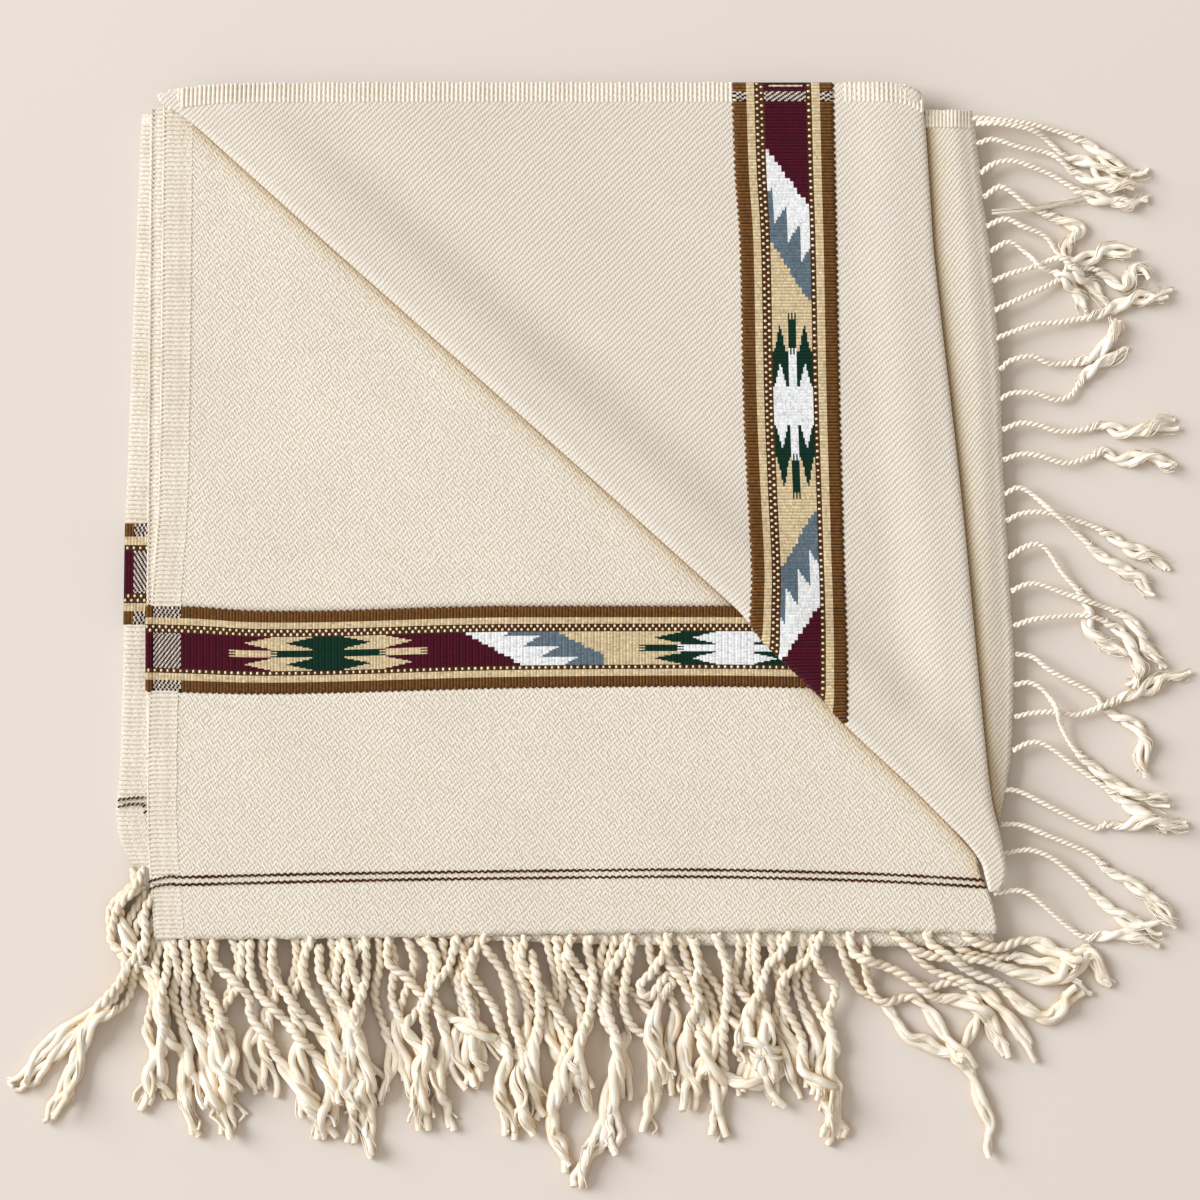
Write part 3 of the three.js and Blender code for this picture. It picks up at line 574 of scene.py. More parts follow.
rings = []
for ply in range(HIDDEN_PLIES):
    base, inset = ply * HIDDEN_PLY, 2.5 + (0.9 if ply % 2 else 0)
    for height, drawn in ((0.0, 1.1), (0.2, 0.25), (0.5, 0.0), (0.8, 0.25), (1.0, 1.1)):
        if ply and height == 0.0:
            continue
        x, y = hidden_rings(inset + drawn, ply)
        rings.append(np.stack([x, y, np.full_like(x, base + height * HIDDEN_PLY)], axis=1))
around, levels = len(rings[0]), len(rings)
hidden_points = np.concatenate(rings + [[[255, 255, 0]], [[255, 255, HIDDEN_PLIES * HIDDEN_PLY]]])
hidden_faces = []
for level in range(levels - 1):
    for i in range(around):
        a, b = level * around + i, level * around + (i + 1) % around
        hidden_faces.append([a, b, b + around, a + around])
for i in range(around):
    j, top = (i + 1) % around, (levels - 1) * around
    hidden_faces += [[around * levels, j, i], [around * levels + 1, top + i, top + j]]
hidden_stack = mesh_object("hidden_plies", hidden_points, hidden_faces, bold_twill)
print("hidden plies:", len(hidden_faces), "faces")

# %% [markdown]
# ## The flat plies
# The three plies that show are sheets on the same gentle waves, so that none cuts through the
# next. The front ply and the lower one are parted by their woven bands, which follow further on.

# %% Lower, second and front plies
BAND_GAP = 0.2  # between a ply's edge and the band that is woven on to it
hem_of_back = ply_grid(
    BACK, BACK["bottom"], lambda x: BACK_BAND["lower"](x) - BAND_GAP, BACK_Z, 110, 40, 0.8)
field_of_back = ply_grid(
    BACK, lambda x: BACK_BAND["upper"](x) + BAND_GAP, BACK["top"], BACK_Z, 60, 40)
lower_ply = mesh_object("lower_ply", *joined([
    sheet_parts(hem_of_back), sheet_parts(field_of_back)]), broken_twill)
second_grid = ply_grid(SECOND, SECOND["bottom"], SECOND["top"], SECOND_Z, 70, 70)
second_ply = mesh_object("middle_ply", *joined([sheet_parts(second_grid)]), broken_twill)
hem_of_front = ply_grid(
    FRONT, FRONT["bottom"], lambda x: FRONT_BAND["lower"](x) - BAND_GAP, FRONT_Z, 280, 44, 1.0)
field_of_front = ply_grid(
    FRONT, lambda x: FRONT_BAND["upper"](x) + BAND_GAP, FRONT["top"], FRONT_Z, 90, 70)
front_ply = mesh_object("front_ply", *joined([
    sheet_parts(hem_of_front), sheet_parts(field_of_front)]), front_twill)
print("front ply:", round(cloth_area(hem_of_front, field_of_front), 3), "square metres")

# %% [markdown]
# ## The turned flap
# The top ply's corner is turned over the diagonal, and its fringed end is folded under again at
# the right. Both folds are soft rolls, not sharp creases. Each row of the flap runs from a hidden
# leg under the diagonal, round the roll, over its crest, across, and round the right fold to a
# hidden return. A few shallow troughs run towards the corner, where the cloth is drawn together.
# A cloth simulation would find such folds too, but these are few and known, so they are drawn.

# %% Creases and folds of the flap
CREST_AT, FOLD_REACH = 19, 68  # how far past the diagonal the roll keeps its height, and ends
RIDGE, HOLLOW, HOLLOW_AT = 3.3, 1.5, 47  # the ridge by the right fold, and the dip past the crest
TROUGHS = (  # from and to in layout millimetres, then half width and depth
    {"start": (395, 190), "end": (512, 66), "half": 15, "depth": 0.9},
    {"start": (440, 250), "end": (516, 92), "half": 20, "depth": 0.8},
    {"start": (120, 480), "end": (335, 300), "half": 26, "depth": 0.9},
    {"start": (468, 500), "end": (500, 250), "half": 15, "depth": 0.7},
    {"start": (250, 520), "end": (330, 380), "half": 30, "depth": 0.5},
)


def troughs(x, y):
    """How far the soft creases sink the flap."""
    sink = np.zeros_like(np.asarray(x, float) + np.asarray(y, float))
    for crease in TROUGHS:
        (x0, y0), (x1, y1) = crease["start"], crease["end"]
        along = np.array([x1 - x0, y1 - y0], float)
        length = np.linalg.norm(along)
        along /= length
        forward = (x - x0) * along[0] + (y - y0) * along[1]
        aside = (x - x0) * along[1] - (y - y0) * along[0]
        fade = ease(-0.1 * length, 0.35 * length, forward)
        fade = fade * (1 - ease(0.7 * length, 1.1 * length, forward))
        sink = sink + crease["depth"] * fade * np.exp(-(aside / crease["half"]) ** 2)
    return sink


def fold_facts(y):
    """At the heights y: the two folds, how slanting the diagonal is, and the sizes of its roll."""
    fold, roll = FLAP["fold"](y), FLAP["roll"](y)
    lean = (FLAP["fold"](y + 2) - FLAP["fold"](y - 2)) / 4
    slant = np.sqrt(1 + np.minimum(lean * lean, 1.3))
    span = roll - fold
    crest = FLAP["crest"](y)
    return {
        "fold": fold, "roll": roll, "slant": slant, "crest": crest,
        "under": np.minimum(26 * slant, span * 0.3), "back": np.minimum(18, span * 0.3),
        "left_turn": np.minimum(crest * slant, span * 0.18),
        "right_turn": np.minimum(5.5, span * 0.16),
    }


def flap_level(x, y, facts):
    """Height of the flap's middle surface between its two turns."""
    roll = facts["crest"] * (1 - ease(CREST_AT, FOLD_REACH, (x - facts["fold"]) / facts["slant"]))
    settled = ease(facts["back"] + 2, facts["back"] + 34, facts["roll"] - x)
    ridge = RIDGE * (1 - settled) * (1 - roll / (facts["crest"] + RIDGE))
    past = (x - facts["fold"]) / facts["slant"]
    hollow = HOLLOW * np.exp(-((past - HOLLOW_AT) / 15) ** 2) * ease(4, 20, facts["crest"] * 4)
    return FLAP_Z + roll + ridge - hollow - troughs(x, y) + waves(x, y) * 0.8


def droop(y):
    """How far the flap's top edge hangs past the stack."""
    return 3 * (np.maximum(y - 521, 0) / 13) ** 2


middle_facts = fold_facts(265.0)
print("at mid height the diagonal's roll rises", round(float(middle_facts["crest"]), 1), "mm")

# %% [markdown]
# ## The flap's grid
# The rows of the grid lie at fixed heights, closer together at both ends, and its columns are
# built from left to right: the hidden leg, half a circle for the roll, the open field, half a
# circle for the fold at the right, and the return.

# %% Flap surface
flap_heights = np.concatenate([
    np.linspace(29.5, 60, 24), np.linspace(62, 505, 130), np.linspace(507.5, FLAP_TOP, 15),
])[:, None]
facts = fold_facts(flap_heights)
start, end = facts["fold"] + facts["left_turn"], facts["roll"] - facts["right_turn"]
columns = []
for share in (1.0, 0.8, 0.6):
    x = facts["fold"] + mix(facts["left_turn"], facts["under"], (share - 0.2) / 0.8)
    columns.append((x, UNDER_Z + 0 * x))
left_top = flap_level(start, flap_heights, facts)
for angle in np.linspace(0, math.pi, 13):
    columns.append((
        facts["fold"] + facts["left_turn"] * (1 - math.sin(angle)),
        mix(UNDER_Z, left_top, (1 - math.cos(angle)) / 2)))
for share in np.linspace(0, 1, 52)[1:-1] ** 1.2:
    x = mix(start, end, share)
    columns.append((x, flap_level(x, flap_heights, facts)))
right_top = flap_level(end, flap_heights, facts)
for angle in np.linspace(0, math.pi, 9):
    columns.append((
        end + facts["right_turn"] * math.sin(angle),
        mix(right_top, FLAP_Z, (1 - math.cos(angle)) / 2)))
for share in (0.5, 1.0):
    columns.append((end - facts["back"] * share, FLAP_Z + 0 * end))
flap_x = np.concatenate([np.broadcast_to(x, flap_heights.shape) for x, _ in columns], axis=1)
flap_z = np.concatenate([np.broadcast_to(z, flap_heights.shape) for _, z in columns], axis=1)
flap_y = flap_heights + (FLAP["top"](flap_x) - FLAP_TOP) * ease(
    FLAP_TOP - 34, FLAP_TOP, flap_heights)
flap_grid = np.stack([flap_x, flap_y, flap_z - droop(flap_y)], axis=2)
flap = mesh_object("turned_flap", *joined([sheet_parts(flap_grid)]), bold_twill)
print("flap:", len(flap.data.polygons), "faces,", round(cloth_area(flap_grid), 3), "square metres")


def flap_surface(x, y):
    """Height of the flap's middle surface, from the diagonal fold's outermost line to the right."""
    facts = fold_facts(y)
    level = flap_level(np.maximum(x, facts["fold"] + facts["left_turn"]), y, facts)
    turned = np.clip((x - facts["fold"]) / facts["left_turn"], 0, 1)
    rise = (1 + np.sqrt(1 - (1 - turned) ** 2)) / 2
    return mix(UNDER_Z, level, rise) - droop(y)


# %% [markdown]
# ## The flap's fringed end
# Past the right fold the end of the same ply comes out again as a strip, and sinks from the stack
# towards the surface.

# %% Strip past the right fold
def end_height(x, y):
    """Height of the strip: it sinks from the stack's edge outward."""
    start = FRONT["right"](y) + 4.5
    overhang = np.maximum(END_EDGE(y) - start, 1)
    return UNDER_Z - np.minimum(overhang * 0.4, 4.4) * ease(0, overhang, x - start)


end_v = np.linspace(0, 1, 150)[:, None] + np.zeros((1, 16))
end_u = np.zeros((150, 1)) + np.linspace(0, 1, 16)[None, :]
end_y = mix(45, 517, end_v)
end_outer = END_EDGE(end_y) - 0.5 * (0.5 + 0.5 * np.cos(end_y * 2 * math.pi / 17))
end_fold, end_roll = FLAP["fold"](end_y), FLAP["roll"](end_y)
end_start = np.minimum(
    np.maximum(end_roll - 26, end_fold + (end_roll - end_fold) * 0.3 + 2.5), end_outer - 1.5)
end_x = mix(end_start, end_outer, end_u)
end_grid = np.stack([end_x, end_y, end_height(end_x, end_y)], axis=2)
flap_end = mesh_object("flap_end_strip", *joined([sheet_parts(end_grid)]), strip_twill)
print("strip:", round(cloth_area(end_grid), 3), "square metres")

# %% [markdown]
# ## The woven bands
# Each band is a tapestry weave. Its ribs, 2 mm apart, run across it, and its dyed weft makes brown
# and tan rules, rows of dots and a field with stepped motifs.

# %% Dyes and rules of the bands
DYES = {
    "brown": "#80562A", "tan": "#EBD7AE", "maroon": "#570A26", "green": "#063728",
    "grey": "#687A88", "white": "#F4FAFF", "umber": "#553417", "black": "#1E1219",
    "pale": "#D2C7BB",
}
# Painted shade in the valleys between ribs: the share of each dye's colour that is left there.
VALLEY_SHADE = {  # how much light is left between two ribs of each dye
    "brown": 0.12, "tan": 0.5, "maroon": 0.2, "green": 0.3, "umber": 0.4, "white": 0.84,
    "grey": 0.7,
}
RULES = (  # from the band's outer side: the dye, and where its rule ends as a share of the width
    ("brown", 0.128), ("tan", 0.208), ("umber", 0.308), ("field", 0.732), ("umber", 0.79),
    ("tan", 0.874), ("brown", 1.0),
)
RIB = 2.0  # from rib to rib along a band
FIELD_ROWS = 25  # rows of stitches that a motif is counted in


print("the bands' field takes", round(RULES[3][1] - RULES[2][1], 2), "of their width")

# %% [markdown]
# ## The motifs
# A motif in such a weave is a set of rules, as a weaver counts them: how far each colour reaches
# along the band, row by row. Here `across` runs from 0 to 1 over the field, and distances along
# the band are in millimetres.

# %% Motifs of the bands
def stairs(share, steps):
    """A slanting edge as a weaver steps it."""
    return (np.floor(share * steps) + 0.5) / steps


def slanted(past, across):
    """The slanting block: maroon, white with teeth, grey with spikes, then tan."""
    saw = (across - 0.13) / 0.31
    teeth = 48 + 12 * np.floor(saw) - 12 * (saw - np.floor(saw)) ** 0.8
    tooth = np.where(past < teeth, "white", "grey")
    field = np.where(past < 36.5 * stairs(across, 11), "maroon", tooth)
    return np.where(past > 58 + 40 * stairs(across, 13), "tan", field)


def spiked(across, bar, side, foot):
    """How far a medallion's colour reaches: a bar with three prongs, and a spike each side."""
    row = np.floor(across * FIELD_ROWS)
    from_middle = np.abs(row - FIELD_ROWS // 2)
    in_bar = from_middle <= 2
    prong = np.where(from_middle == 1, bar - 4, bar)
    aside = np.abs(np.abs(across - 0.5) - 0.31)
    spike = foot + (side - foot) * np.clip(1 - aside / 0.16, 0, 1)
    return np.where(in_bar, prong, spike)


def tan_medallion(away, across):
    """Tan spikes on maroon round a green heart."""
    green = away < spiked(across, 36.4, 27, 10.5)
    tan = away < spiked(across, 61.5, 53.5, 36.5)
    return np.where(green, "green", np.where(tan, "tan", "maroon"))


def white_medallion(away, across):
    """Green spikes on tan round a white heart."""
    white = away < spiked(across, 35, 27, 11.7)
    green = away < spiked(across, 58.9, 51, 33)
    return np.where(white, "white", np.where(green, "green", "tan"))


def front_motif(along, across):
    """The front band: maroon, a tan medallion, maroon, the slanting block and a white medallion."""
    tan_part = tan_medallion(np.abs(along - 114.3), across)
    rest = np.where(along > 285, white_medallion(np.abs(along - 367.3), across),
                    slanted(along - 199.3, across))
    return np.where(along < 190, tan_part, rest)


def flap_motif(along, across):
    """The flap's band, the same both ways from its white medallion."""
    near = np.minimum(along, 403.8 - along)
    return np.where(near > 135, white_medallion(201.9 - near, across), slanted(near - 41.3, across))


def dyed_cells(along, share, motif, selvedge, cap):
    """The dye of each cell of a band. Near the selvedge its warp shows and mixes the colours."""
    part = np.searchsorted([end for _, end in RULES], share, side="right")
    part = np.minimum(part, len(RULES) - 1)
    rule = np.array([name for name, _ in RULES], dtype=object)[part]
    low, high = RULES[2][1], RULES[3][1]
    across = np.clip((share - low) / (high - low), 0, 0.9999)
    dye = np.where(rule == "field", motif(along, across), rule)
    steps = (np.floor(along / RIB * 3 + 0.01) + np.floor(share * 60)) % 4 < 2
    in_mix = (along > cap) & (along < selvedge) & ((rule == "field") | (rule == "brown"))
    dye = np.where(in_mix, np.where(steps, "pale", "black"), dye)
    return np.where((along <= cap) & (rule == "field"), "maroon", dye)


print("flap's band at mid width:", flap_motif(np.arange(20, 400, 40.0), np.full(10, 0.5)).tolist())

# %% [markdown]
# ## Ribbed sheets for the bands
# The band itself is a sheet with a raised rib for each warp: three columns of points a rib give it
# its round back. Its long edges bulge at every second rib, where the weft turns. Its underside is
# hidden, so it has only a few rows.

# %% Bands as ribbed sheets
def share_rows():
    """Where the rows of cells lie across a band: a few in each rule, and the field's own rows."""
    edges, start = [0.0], 0.0
    for name, end in RULES:
        rows = {"field": FIELD_ROWS, "umber": 4, "tan": 3, "brown": 5}[name]
        edges += list(np.linspace(start, end, rows + 1)[1:])
        start = end
    return np.array(edges)


def band_grid(length, point_at, turned, cells):
    """The ribbed face of a band and its flat underside, as grids, and the shares of its rows."""
    along = np.arange(int(round(length / RIB)) * cells + 1) * RIB / cells
    shares = share_rows()
    bulged = shares[:, None] + 0 * along[None, :]
    bulged[0] -= 0.024 * np.abs(np.sin(np.pi * along / (2 * RIB)))
    bulged[-1] += 0.024 * np.abs(np.sin(np.pi * along / (2 * RIB)))
    grid = point_at(along[None, :] + 0 * bulged, bulged)
    out = normals_of(grid) * (-1 if turned else 1)
    round_rib = np.abs(np.sin(np.pi * along / RIB))
    round_rib = round_rib + 0.5 * np.abs(np.sin(np.pi * along / (2 * RIB)))
    ridge = 0.42 * (0.2 + round_rib)[None, :] + 0 * bulged
    ridge[0] = ridge[-1] = 0.05
    ends = [end for _, end in RULES]
    in_dots = (shares > ends[1]) & (shares < ends[2]) | (shares > ends[3]) & (shares < ends[4])
    ridge[in_dots] *= 0.45
    face = grid + out * (CLOTH / 2 + ridge[..., None])
    kept_rows = sorted(set(range(0, len(shares), 6)) | {len(shares) - 1})
    return face, (grid - out * CLOTH / 2)[kept_rows], along, shares


def band_faces(rows, columns, under_rows, turned):
    """Faces of a band: its ribbed face first, then its underside and its rim."""
    steps, base, last = columns - 1, rows * columns, under_rows - 1
    faces = grid_faces(rows, columns).tolist()
    faces += grid_faces(under_rows, columns, base, turned=True).tolist()
    for i in range(steps):
        faces.append([i + 1, i, base + i, base + i + 1])
        a, b = (rows - 1) * columns + i, base + last * columns + i
        faces.append([a, a + 1, b + 1, b])
    for side, flip in ((0, -1), (steps, 1)):
        cap_face = [r * columns + side for r in range(rows)]
        cap_face += [base + r * columns + side for r in range(last, -1, -1)]
        faces.append(cap_face[::-flip])
    return [face_points[::-1] for face_points in faces] if turned else faces


print("rows of cells across a band:", len(share_rows()) - 1)

# %% [markdown]
# ## The bands' colours
# Each face takes the dye that the rules give at the middle of its rib. Valleys between ribs get
# painted shade, darker by a share of each dye's own, and each stitch is a little lighter or darker
# than the next, as hand-dyed weft is.

# %% Dyed bands
chance = np.random.default_rng(11)


def band_colours(along, shares, motif, selvedge, cap, cells):
    """Linear colours of the faces of a band's ribbed face."""
    steps, rows = len(along) - 1, len(shares)
    middle_along = np.repeat(((along[1:] + along[:-1]) / 2)[None, :], rows - 1, axis=0)
    middle_share = np.repeat(((shares[1:] + shares[:-1]) / 2)[:, None], steps, axis=1)
    whole_rib = (np.floor(middle_along / RIB) + 0.5) * RIB
    in_mix = (whole_rib > cap) & (whole_rib < selvedge)
    dye = dyed_cells(np.where(in_mix, middle_along, whole_rib), middle_share, motif, selvedge, cap)
    names, index = np.unique(dye.ravel().astype(str), return_inverse=True)
    colours = np.array([linear(DYES[name]) for name in names])[index.ravel()]
    tone = 1 + 0.10 * chance.standard_normal((rows - 1, steps // cells)).repeat(cells, axis=1)
    depth = np.array([VALLEY_SHADE.get(name, 1.0) for name in names])[index.ravel()].reshape(tone.shape)
    # Painted shade: cells in the valleys between ribs are darkened by each dye's share.
    cell = np.arange(steps)
    in_valley = np.where(cell % (2 * cells) == 0, 1.0, 0.8) * (cell % cells == 0)
    in_valley += 0.4 * (cell % cells == cells - 1)
    colours[:, :3] *= (tone * (1 - (1 - depth) * in_valley[None, :])).ravel()[:, None]
    return np.clip(colours, 0, 1)


def band_piece(name, length, point_at, motif, selvedge, cap, turned=False, cells=3):
    """A ribbed band. point_at(along, share) gives its middle surface's points."""
    face, under, along, shares = band_grid(length, point_at, turned, cells)
    faces = band_faces(len(shares), len(along), len(under), turned)
    colours = band_colours(along, shares, motif, selvedge, cap, cells)
    all_colours = np.ones((len(faces), 4)) * linear(DYES["maroon"])
    all_colours[:len(colours)] = colours
    points = np.concatenate([face.reshape(-1, 3), under.reshape(-1, 3)])
    made = mesh_object(name, points, faces, tapestry)
    attribute = made.data.color_attributes.new("yarn", "FLOAT_COLOR", "CORNER")
    sizes = [len(face_points) for face_points in faces]
    attribute.data.foreach_set("color", np.repeat(all_colours, sizes, axis=0).ravel())
    edit = bmesh.new()
    edit.from_mesh(made.data)
    bmesh.ops.remove_doubles(edit, verts=edit.verts, dist=1e-7)
    edit.to_mesh(made.data)
    edit.free()
    return made


print("dyes:", sorted(DYES))

# %% [markdown]
# ## The three bands
# Each band lies on its own ply: a function turns a place along and across the band into a point of
# that ply's surface. The flap's band runs up the flap, over its crest, and ends at the diagonal.

# %% The three bands
def front_band_point(along, share):
    """A point of the front band; its start is lifted a little over the ply's edge."""
    x = along - 6.2 + 0 * share
    y = mix(FRONT_BAND["upper"](x), FRONT_BAND["lower"](x), share)
    return np.stack([x, y, FRONT_Z + 0.3 + 1.2 * (1 - ease(1, 7, along)) + waves(x, y)], axis=2)


def back_band_point(along, share):
    """A point of the lower ply's band, of which only the start at the left shows."""
    y = mix(BACK_BAND["lower"](along), BACK_BAND["upper"](along), share)
    x = BACK["left"](y) - 0.6 + along
    return np.stack([x, y, BACK_Z + 0.1 + waves(x, y)], axis=2)


def flap_band_point(along, share):
    """A point of the flap's band, which runs down from the top edge to the diagonal."""
    y = 534.3 - along
    x = np.maximum(mix(FLAP_BAND["left"](y), FLAP_BAND["right"](y), share), FLAP["fold"](y))
    return np.stack([x, y, flap_surface(x, np.minimum(y, FLAP_TOP)) + 0.35], axis=2)


def maroon_motif(along, across):
    """The lower band shows too little of its field for a motif."""
    return np.where(across < 2, "maroon", "tan")


front_band = band_piece("front_band", 428, front_band_point, front_motif, 21.8, 4.4, turned=True)
lower_band = band_piece("lower_band", 44, back_band_point, maroon_motif, 17.5, 5.2)
flap_band = band_piece("flap_band", 400, flap_band_point, flap_motif, 13, 5)
cap_line = flap_band_point(np.full((1, 24), 2.3), np.linspace(0.36, 0.70, 24)[None, :])[0]
cap_line = cap_line + [0, 0, 1.1]
print("bands:", [len(b.data.polygons) for b in (front_band, lower_band, flap_band)], "faces")

# %% [markdown]
# ## Threads by Geometry Nodes
# Cords, braids, pinstripes and loose ends are all threads that follow a path. A path is a chain of
# edges whose points carry what a thread needs: how far along it is, which way is aside and which
# is up, and a number of its own.

# %% Paths of the threads
def smooth_path(points, step=2.0):
    """A smooth path through a few points, with a point every step."""
    points = np.asarray(points, float)
    before = np.vstack([2 * points[:1] - points[1:2], points[:-1]])
    after = np.vstack([points[1:], 2 * points[-1:] - points[-2:-1]])
    slopes, found = (after - before) / 2, [points[:1]]
    for i in range(len(points) - 1):
        count = max(2, int(round(np.linalg.norm(points[i + 1] - points[i]) / step)))
        t = (np.arange(1, count + 1) / count)[:, None]
        found.append(hermite(points[i], points[i + 1], slopes[i], slopes[i + 1], t))
    return np.concatenate(found)


def lengths_along(path):
    """How far along its path each point is."""
    return np.concatenate([[0], np.cumsum(np.linalg.norm(np.diff(path, axis=0), axis=1))])


def path_mesh(paths, sides=None, seed=0, opens=None, swell=0.0, taper=0.5, ends_only=False):
    """A mesh of edge chains with the attributes that the trees read. opens gives how long the open
    end of each cord is: there the twist slows, the plies swell by the given share and then thin.
    With ends_only the mesh keeps only those open ends."""
    count = 0
    points, edges = [], []
    labels = ("along", "share", "number", "girth", "wander", "aside", "above")
    values = {label: [] for label in labels}
    numbers = np.random.default_rng(seed).random(len(paths))
    for i, path in enumerate(paths):
        reach = lengths_along(path)
        heading = np.gradient(path, axis=0)
        heading /= np.maximum(np.linalg.norm(heading, axis=1, keepdims=True), 1e-9)
        if sides is None:
            side = np.stack([-heading[:, 1], heading[:, 0], 0 * heading[:, 0]], axis=1)
            side /= np.maximum(np.linalg.norm(side, axis=1, keepdims=True), 1e-9)
        else:
            side = np.asarray(sides[i], float) + np.zeros_like(path)
        opened = np.zeros(len(path)) if opens is None else np.clip(
            1 - (reach[-1] - reach) / opens[i], 0, 1)
        steps = np.diff(reach, prepend=0) / (1 + 4.0 * ease(0, 0.45, opened))
        kept = opened > 0 if ends_only else reach >= 0
        size = int(kept.sum())
        points.append(path[kept])
        edges.append(np.stack([np.arange(size - 1), np.arange(1, size)], axis=1) + count)
        values["along"].append(np.cumsum(steps)[kept] * MM)
        values["share"].append((opened if ends_only else reach / reach[-1])[kept])
        values["number"].append(np.full(size, numbers[i]))
        values["girth"].append(
            ((1 + swell * ease(0, 0.4, opened)) * (1 - taper * ease(0.6, 1.0, opened)))[kept])
        values["wander"].append((opened**1.3)[kept])
        values["aside"].append(side[kept])
        values["above"].append(np.cross(heading, side)[kept])
        count += size
    mesh = bpy.data.meshes.new("paths")
    mesh.from_pydata(model(np.concatenate(points)).tolist(), np.concatenate(edges).tolist(), [])
    for label, found in values.items():
        found = np.concatenate(found)
        kind, key = ("FLOAT", "value") if found.ndim == 1 else ("FLOAT_VECTOR", "vector")
        mesh.attributes.new(label, kind, "POINT").data.foreach_set(key, found.ravel())
    return mesh


print("a path of 100 mm has", len(smooth_path([(0, 0, 0), (50, 9, 0), (100, 0, 0)])), "points")

# %% [markdown]
# ## Growing the yarns
# A Geometry Nodes tree turns each chain into a curve and grows the yarns about it. Making them by
# hand would take thousands of curves; one tree makes them all from a few named sizes. The result
# is then kept as a plain mesh.

# %% Trees and what they grow
def new_tree(name, sizes, counts=()):
    """A Geometry Nodes tree with named sizes and counts, and the sockets that give them."""
    tree = bpy.data.node_groups.new(name, "GeometryNodeTree")
    tree.interface.new_socket("Geometry", in_out="INPUT", socket_type="NodeSocketGeometry")
    for kind, labels in (("Float", sizes), ("Int", counts), ("Material", ["Finish"])):
        for label in labels:
            tree.interface.new_socket(label, in_out="INPUT", socket_type="NodeSocket" + kind)
    tree.interface.new_socket("Geometry", in_out="OUTPUT", socket_type="NodeSocketGeometry")
    return tree, tree.nodes.new("NodeGroupInput").outputs


def end_tree(tree, shape, given):
    """Ends a tree: its instances are made real and take their finish."""
    real = add(tree, "GeometryNodeRealizeInstances", {"Geometry": shape})
    smooth = add(tree, "GeometryNodeSetShadeSmooth", {"Geometry": real})
    finished = add(tree, "GeometryNodeSetMaterial", {
        "Geometry": smooth, "Material": given["Finish"]})
    add(tree, "NodeGroupOutput", {"Geometry": finished})
    return tree


def triangles_of(piece):
    """How many triangles a piece's faces come to."""
    return sum(len(face.vertices) - 2 for face in piece.data.polygons)


def grow(name, host, tree, finish, **sizes):
    """Runs a tree on a host mesh and keeps its result as a plain mesh piece."""
    made = placed(name, host)
    modifier = made.modifiers.new("grow", "NODES")
    modifier.node_group = tree
    sockets = {item.name: item.identifier for item in tree.interface.items_tree
               if item.item_type == "SOCKET" and item.in_out == "INPUT"}
    modifier[sockets["Finish"]] = finish
    for label, value in sizes.items():
        modifier[sockets[label.replace("_", " ")]] = value
    settled = made.evaluated_get(bpy.context.evaluated_depsgraph_get())
    plain = bpy.data.meshes.new_from_object(settled)
    made.modifiers.clear()
    made.data = plain
    plain.name = name
    print(f"{name}: {triangles_of(made)} triangles")
    return made


print("the second ply has", triangles_of(second_ply), "triangles")

# %% [markdown]
# ## Helpers for twisted yarn
# Each cord of the fringe is made by rolling a few warp ends between the fingers: two plies wind
# round each other. So the tree shifts the path sideways twice, in a helix, and sweeps a round
# profile along each. Four helpers come first: the helix, the profile, a floor that nothing sinks
# below, and a smooth noise that lets yarns drift where a cord has come open.

# %% Helpers of the yarn trees
# Keys of the drift's noise are this far apart, so no two cords drift alike.
KEY_STEP = 4096.0


def helix(tree, turns, radius, flatness):
    """An offset that circles the path: turns counts whole turns, radius is how far out it is."""
    angle = add(tree, "ShaderNodeMath", {0: turns, 1: -2 * math.pi}, operation="MULTIPLY")
    cosine = add(tree, "ShaderNodeMath", {0: angle}, operation="COSINE")
    sine = add(tree, "ShaderNodeMath", {0: angle}, operation="SINE")
    outward = add(tree, "ShaderNodeMath", {0: cosine, 1: radius}, operation="MULTIPLY")
    height = add(tree, "ShaderNodeMath", {0: radius, 1: flatness}, operation="MULTIPLY")
    lift = add(tree, "ShaderNodeMath", {0: sine, 1: height}, operation="MULTIPLY")
    aside, above = [add(
        tree, "GeometryNodeInputNamedAttribute", {"Name": label}, data_type="FLOAT_VECTOR")
        for label in ("aside", "above")]
    across = add(tree, "ShaderNodeVectorMath", {0: aside, "Scale": outward}, operation="SCALE")
    upward = add(tree, "ShaderNodeVectorMath", {0: above, "Scale": lift}, operation="SCALE")
    return add(tree, "ShaderNodeVectorMath", {0: across, 1: upward}, operation="ADD")


def profile_of(tree, sides, radius):
    """A round profile that also carries where each of its points is round the ply."""
    ring = add(tree, "GeometryNodeCurvePrimitiveCircle", {
        "Resolution": sides, "Radius": radius}, mode="RADIUS")
    outwards = add(tree, "ShaderNodeVectorMath", {
        0: add(tree, "GeometryNodeInputPosition")}, operation="NORMALIZE")
    return add(tree, "GeometryNodeStoreNamedAttribute", {
        "Geometry": ring, "Name": "around", "Value": outwards},
        data_type="FLOAT_VECTOR", domain="POINT")


def above_board(tree, shape, least):
    """Lifts what would lie below the surface that the shawl rests on."""
    at = add(tree, "ShaderNodeSeparateXYZ", {0: add(tree, "GeometryNodeInputPosition")})
    height = add(tree, "ShaderNodeMath", {0: at.outputs[2], 1: least}, operation="MAXIMUM")
    lifted = add(tree, "ShaderNodeCombineXYZ", {0: at.outputs[0], 1: at.outputs[1], 2: height})
    return add(tree, "GeometryNodeSetPosition", {"Geometry": shape, "Position": lifted})


